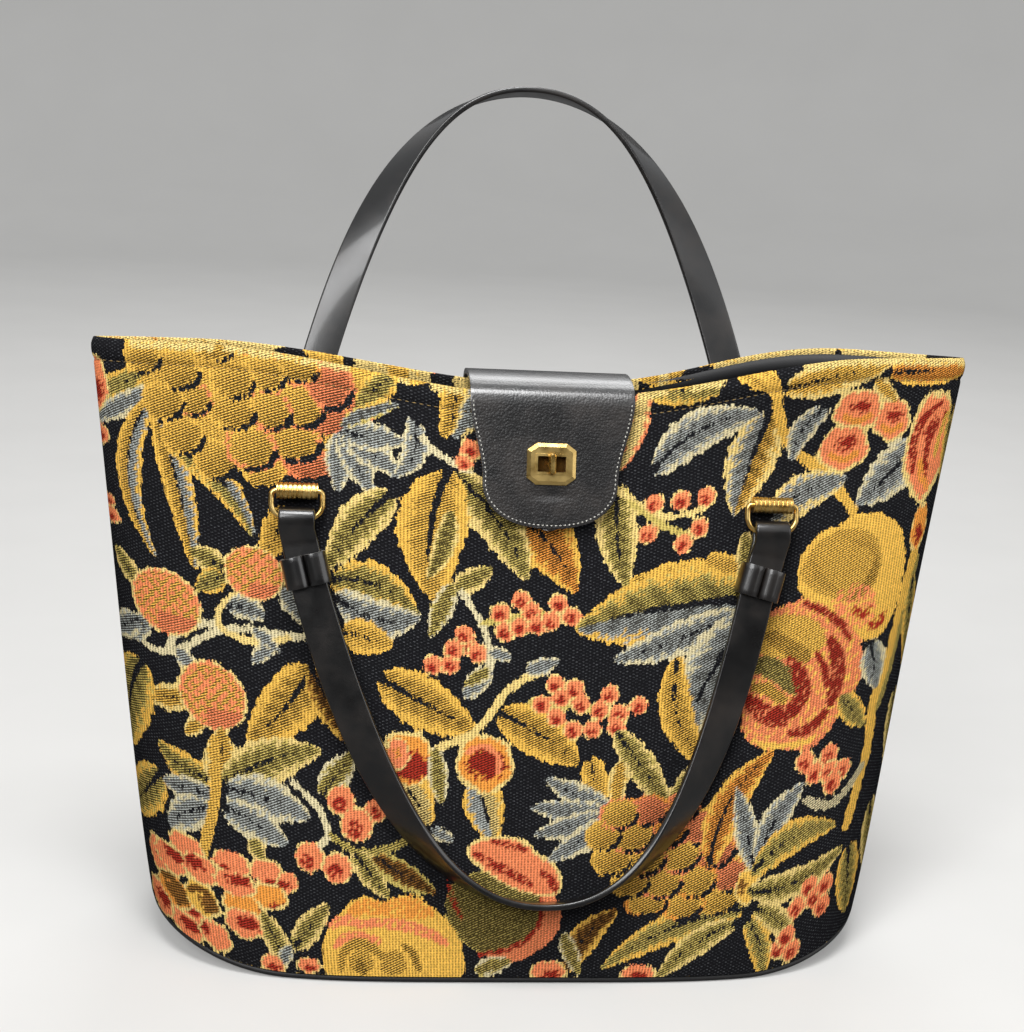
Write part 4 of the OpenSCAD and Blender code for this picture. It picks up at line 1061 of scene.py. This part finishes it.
def leather_finish(name, dark, worn, roughness, grain_scale, grain_depth, polish, polish_roughness):
    """Black leather: a grain of small pebbles, paler and duller wear in patches, and a coat of polish."""
    finish, add, join = new_finish(name, roughness, Coat_Weight=polish, Coat_Roughness=polish_roughness)
    spot = add("TexCoord").outputs["Object"]
    pebbles = add("TexVoronoi", {"Vector": spot, "Scale": grain_scale})
    wear = add("TexNoise", {"Vector": spot, "Scale": 45.0, "Detail": 3.0, "Roughness": 0.65})
    patches = add("MapRange", {0: wear.outputs["Fac"], 1: 0.45, 2: 0.8}).outputs[0]
    join(blend_colours(add, patches, paint(dark), paint(worn)), "Base Color")
    dullness = {0: wear.outputs["Fac"], 1: 0.3, 2: 0.75, 3: roughness - 0.06, 4: roughness + 0.12}
    join(add("MapRange", dullness).outputs[0], "Roughness")
    grain = {"Height": pebbles.outputs["Distance"], "Strength": grain_depth, "Distance": 0.3 * MM}
    join(add("Bump", grain, invert=True).outputs[0], "Normal")
    return finish


flap_leather = leather_finish("pebbled_leather", (20, 19, 19), (44, 39, 36), 0.36, 950.0, 0.6, 1.0, 0.22)


def flap_layer(name, node, low, high):
    """One layer of the flap, from low to high off the line of its fold."""
    def place(column, row):
        at = np.rint(row).astype(int)
        c = 2.0 * column / flap_cols - 1.0
        dent = dent_deep * bump(drops[at], dent_drop, 2.0) * bump(c, 0.0, 0.3)
        line, _ = on_fold(flap_rows[at], high - dent + 0.0 * c)
        return np.stack([flap_x + flap_half[at] * c, line[:, 0], line[:, 1]], 1)

    bm = mapped_grid(flap_cols, len(flap_rows) - 1, place)
    lock_high = rim_mid - lock_drop
    centres = [(face, face.calc_center_median() / MM) for face in bm.faces]
    opening = [face for face, (x, y, z) in centres if y < 0.0 and abs(x - flap_x) < opening_half[0]
               and abs(z - lock_high) < opening_half[1]]
    bmesh.ops.delete(bm, geom=opening, context="FACES")
    bmesh.ops.recalc_face_normals(bm, faces=bm.faces)
    high_face = max(bm.faces, key=lambda face: face.calc_center_median().z)
    if high_face.normal.z < 0.0:
        bmesh.ops.reverse_faces(bm, faces=bm.faces)
    layer = thickened(finished_piece(bm, name, flap_leather), high - low, edge=0.3)
    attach(layer, "bag")
    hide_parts(node)


flap_layer("flap_inner_leather", "flap_backing", 0.0, flap_t)
flap_layer("flap_outer_leather", "flap_leather", flap_t + layer_gap, 2.0 * flap_t + layer_gap)

edge_in, stitch_lift = 1.3, 2.0 * flap_t + 0.12
side_drops = np.concatenate([np.linspace(1.0, tip_start, 30),
                             tip_start + (tip_len - edge_in) * np.sin(tip_turns) ** (2.0 / tip_power)])
right_edge = half_at(side_drops, edge_in)
edge_drops = np.concatenate([side_drops, side_drops[-2::-1]])
edge_half = np.concatenate([right_edge, -right_edge[-2::-1]])
edge_line, _ = on_fold(far_at(edge_drops), stitch_lift + 0.0 * edge_drops)
points, ways = even_steps(np.stack([flap_x + edge_half, edge_line[:, 0], edge_line[:, 1]], 1), pitch=2.0)
_, facing = on_fold(far_at(rim_mid - points[:, 2]), 0.0 * points[:, 2])
outs = np.stack([0.0 * facing[:, 0], facing[:, 0], facing[:, 1]], 1)
pale_thread = thread_finish("pale_thread", (206, 204, 196), (120, 118, 112))
flap_stitches = stitch_row("flap_front_stitches", points, ways, outs, length=1.25, thick=0.75,
                           finish=pale_thread)
tail_half = flap_w / 2.0 - edge_in
tail_far = np.array([18.0, 3.0, 3.0, 18.0])
tail_side = np.array([-tail_half, -tail_half, tail_half, tail_half])
tail_line, _ = on_fold(tail_far, stitch_lift + 0.0 * tail_far)
points, ways = even_steps(np.stack([flap_x + tail_side, tail_line[:, 0], tail_line[:, 1]], 1), pitch=2.3)
_, facing = on_fold(np.array([10.0]), np.array([0.0]))
outs = np.repeat([[0.0, facing[0, 0], facing[0, 1]]], len(points), 0)
tail_stitches = stitch_row("flap_back_stitches", points, ways, outs, length=1.5, thick=0.6,
                           finish=pale_thread)
for row in (flap_stitches, tail_stitches):
    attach(row, "bag")


# Brass: the turn lock, the clips riveted to the walls and the wire rings, all cast or bent and then polished.
# The lock's base and the washers behind the cloth and the flap have tarnished brown.
brass, add, join = new_finish("antique_brass", 0.28, Metallic=1.0)
spot = add("TexCoord").outputs["Object"]
stain = add("TexNoise", {"Vector": spot, "Scale": 140.0, "Detail": 4.0, "Roughness": 0.55})
bright = add("MapRange", {0: stain.outputs["Fac"], 1: 0.3, 2: 0.6}).outputs[0]
join(blend_colours(add, bright, paint((204, 164, 88)), paint((236, 202, 128))), "Base Color")
join(add("MapRange", {0: stain.outputs["Fac"], 1: 0.3, 2: 0.7, 3: 0.24, 4: 0.36}).outputs[0], "Roughness")
tarnish, add, join = new_finish("tarnished_brass", 0.45, Metallic=1.0)
stain = add("TexNoise", {"Vector": add("TexCoord").outputs["Object"], "Scale": 260.0, "Detail": 4.0})
join(blend_colours(add, stain.outputs["Fac"], paint((58, 42, 22)), paint((112, 82, 42))), "Base Color")
brass_nodes = ["lock_plate", "lock_washer", "turn_base", "turn_button", "turn_washer"]
brass_nodes += [f"{wall_side}_{piece}_{end}" for wall_side in ("front", "back")
                for piece in ("clip", "clip_washer", "ring") for end in ("left", "right")]
for node in brass_nodes:
    fitting = dress(node, tarnish if node == "turn_base" or "washer" in node else brass)
    if "ring" not in node and "washer" not in node:
        welded = fitting.modifiers.new("weld", "WELD")
        welded.merge_threshold = 0.002 * MM
        softened = fitting.modifiers.new("soft_edges", "BEVEL")
        softened.width, softened.segments, softened.limit_method = 0.3 * MM, 2, "ANGLE"
    fitting.data.polygons.foreach_set("use_smooth", ["ring" in node] * len(fitting.data.polygons))


# Handles: each is one strap of smooth black leather with painted edges. It twists from flat against the bag
# at the rings to edge-on at its middle, and each end is folded round a ring and held by a keeper.
strap_w, strap_t, edge_r, handle_x, ring_drop = 16.0, 2.8, 0.9, 107.0, 12.0
leg_tilt, loop_r, layer_y, handle_drop, rest_tilt = math.radians(14.5), 3.6, 1.52, 183.0, 7.0
leg_start, fold_len, bow_start, bow_steps = 4.0, 28.0, -31.0, 70
leg_pull, middle_pull, slope_len = 0.625, 0.47, 12.0
strap_leather = leather_finish("smooth_strap_leather", (10, 9, 9), (30, 24, 20), 0.32, 1900.0, 0.1,
                               0.45, 0.12)
strap_low = -(handle_drop - ring_drop) + 0.4


def strap_half(bow):
    """Stations of the strap's left half: middle, across and along, seen from the ring's line."""
    def leg_x(z):
        return -handle_x + np.maximum(0.0, -leg_start - z) * math.tan(leg_tilt)

    def leg_across(z):
        tilt = leg_tilt * smooth(leg_start, 16.0, -z)
        return np.stack([np.cos(tilt), 0.0 * tilt, np.sin(tilt)], -1)

    tail, drop = np.linspace(-fold_len, -0.6, 26), np.linspace(-0.6, -30.0, 28)
    bend = np.radians(np.linspace(0.0, 180.0, 25))
    first = np.stack([leg_x(tail), mix(layer_y, loop_r, smooth(-slope_len, 0.0, tail)), tail], 1)
    loop = np.stack([0.0 * bend - handle_x, loop_r * np.cos(bend), loop_r * np.sin(bend)], 1)
    third = np.stack([leg_x(drop), -mix(layer_y, loop_r, smooth(-slope_len, 0.0, drop)), drop], 1)
    start = np.array([leg_x(bow_start), -layer_y, bow_start])
    reach = leg_pull * (start[2] - strap_low)
    second = start + reach * np.array([math.sin(leg_tilt), 0.01, -math.cos(leg_tilt)]) + [0.6 * bow, 0.0, 0.0]
    corners = np.array([start, second, [-middle_pull * handle_x + bow, 0.0, strap_low], [bow, 0.0, strap_low]])
    k = np.linspace(0.0, 1.0, bow_steps)[:, None]
    curve = ((1 - k) ** 3 * corners[0] + 3 * k * (1 - k) ** 2 * corners[1] + 3 * k * k * (1 - k) * corners[2]
             + k ** 3 * corners[3])
    middle = np.vstack([first, loop, third, curve])
    along = unit(np.gradient(middle, axis=0))
    across = leg_across(middle[:, 2])
    curve_way = unit(np.gradient(curve, axis=0))
    flat_way = -unit(np.cross([0.0, 1.0, 0.0], curve_way))
    turn = np.radians(90.0 - rest_tilt) * smooth(0.0, 0.95, k)
    across[-bow_steps:] = np.cos(turn) * flat_way + np.sin(turn) * np.array([0.0, -1.0, 0.0])
    return middle, across, along


corner_turns = np.radians(np.linspace(0.0, 90.0, 5))
corner = edge_r * np.stack([np.cos(corner_turns), np.sin(corner_turns)], 1)
quarter = corner + (strap_w / 2.0 - edge_r, strap_t / 2.0 - edge_r)
strap_section = np.vstack([quarter, (quarter * (-1, 1))[::-1], -quarter, (quarter * (1, -1))[::-1]])
joints = {joint["name"]: joint for joint in frame["joints"]}
sides = {}
for side_name, bow, facing in (("front", 8.0, 1.0), ("back", 0.0, -1.0)):
    ring_line = np.array(joints[side_name + "_rings_swing"]["pos_m"]) / MM
    hinge_line = np.array(joints[side_name + "_handle_swing"]["pos_m"]) / MM
    up_way = unit(ring_line - hinge_line)
    x_way = np.array([1.0, 0.0, 0.0])
    axes = np.stack([x_way, facing * np.cross(up_way, x_way), up_way])
    home = np.array([0.0, hinge_line[1], hinge_line[2]])
    left, left_across, left_along = strap_half(bow)
    right, right_across, right_along = strap_half(-bow)
    middle = np.vstack([left, (right * (-1, 1, 1))[-2::-1]])
    across = np.vstack([left_across, (right_across * (-1, 1, 1))[-2::-1]])
    along = np.vstack([left_along, (right_along * (1, -1, -1))[-2::-1]])
    sides[side_name] = (axes, home)
    strap = swept(side_name + "_strap_leather", home + middle @ axes, unit(across @ axes),
                  unit(np.cross(along, across) @ axes), strap_section, strap_leather)
    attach(strap, side_name + "_handle")
    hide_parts(side_name + "_strap")


# Keepers: a short band of the same leather round both layers of each strap end. Its cut edges are pale, partly
# the raw leather and partly a painted highlight where they catch the light.
# Its two ends roll up at the front like tubes and meet in a slit.
keeper_z, keeper_h, keeper_t = -23.0, 14.0, 1.5
keeper_edge, keeper_rows = 0.3, 6
keeper_x = handle_x + (keeper_z + leg_start) * math.tan(leg_tilt)
half_band = np.array([(0.8, -3.6), (1.0, -5.2), (3.2, -6.5), (6.2, -6.3), (9.0, -4.6), (9.5, -1.5),
                      (9.3, 1.6), (8.8, 3.9), (6.0, 4.2), (0.0, 4.2)])
band = np.vstack([half_band, (half_band * (-1, 1))[-2::-1]])
for _ in range(3):
    cut = np.stack([mix(band[:-1], band[1:], 0.25), mix(band[:-1], band[1:], 0.75)], 1).reshape(-1, 2)
    band = np.vstack([band[:1], cut, band[-1:]])
# Painted highlight: the cut edges' pale grey is partly the raw leather and partly the light that they catch.
cut_edge_and_highlight, add, join = new_finish("cut_leather_edge_and_highlight", 0.6)
nap = add("TexNoise", {"Vector": add("TexCoord").outputs["Object"], "Scale": 900.0, "Detail": 2.0})
join(blend_colours(add, nap.outputs["Fac"], paint((78, 75, 72)), paint((150, 146, 140))), "Base Color")
for side_name, (axes, home) in sides.items():
    for end_name, end in (("left", -1.0), ("right", 1.0)):
        lean = end * leg_tilt

        def place(column, row):
            x, y = band[np.rint(column).astype(int)].T
            z = (row / keeper_rows - 0.5) * keeper_h
            local = np.stack([end * keeper_x + x * math.cos(lean) + z * math.sin(lean), y,
                              keeper_z - x * math.sin(lean) + z * math.cos(lean)], 1)
            return home + local @ axes

        bm = mapped_grid(len(band) - 1, keeper_rows, place, flip=side_name == "back")
        keeper = finished_piece(bm, f"{side_name}_{end_name}_keeper_band", strap_leather)
        thickened(keeper, keeper_t, offset=0.0, edge=keeper_edge)
        keeper.data.materials.append(cut_edge_and_highlight)
        keeper.modifiers["thickness"].material_offset_rim = 1
        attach(keeper, side_name + "_handle")
        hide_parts(f"{side_name}_keeper_{end_name}")
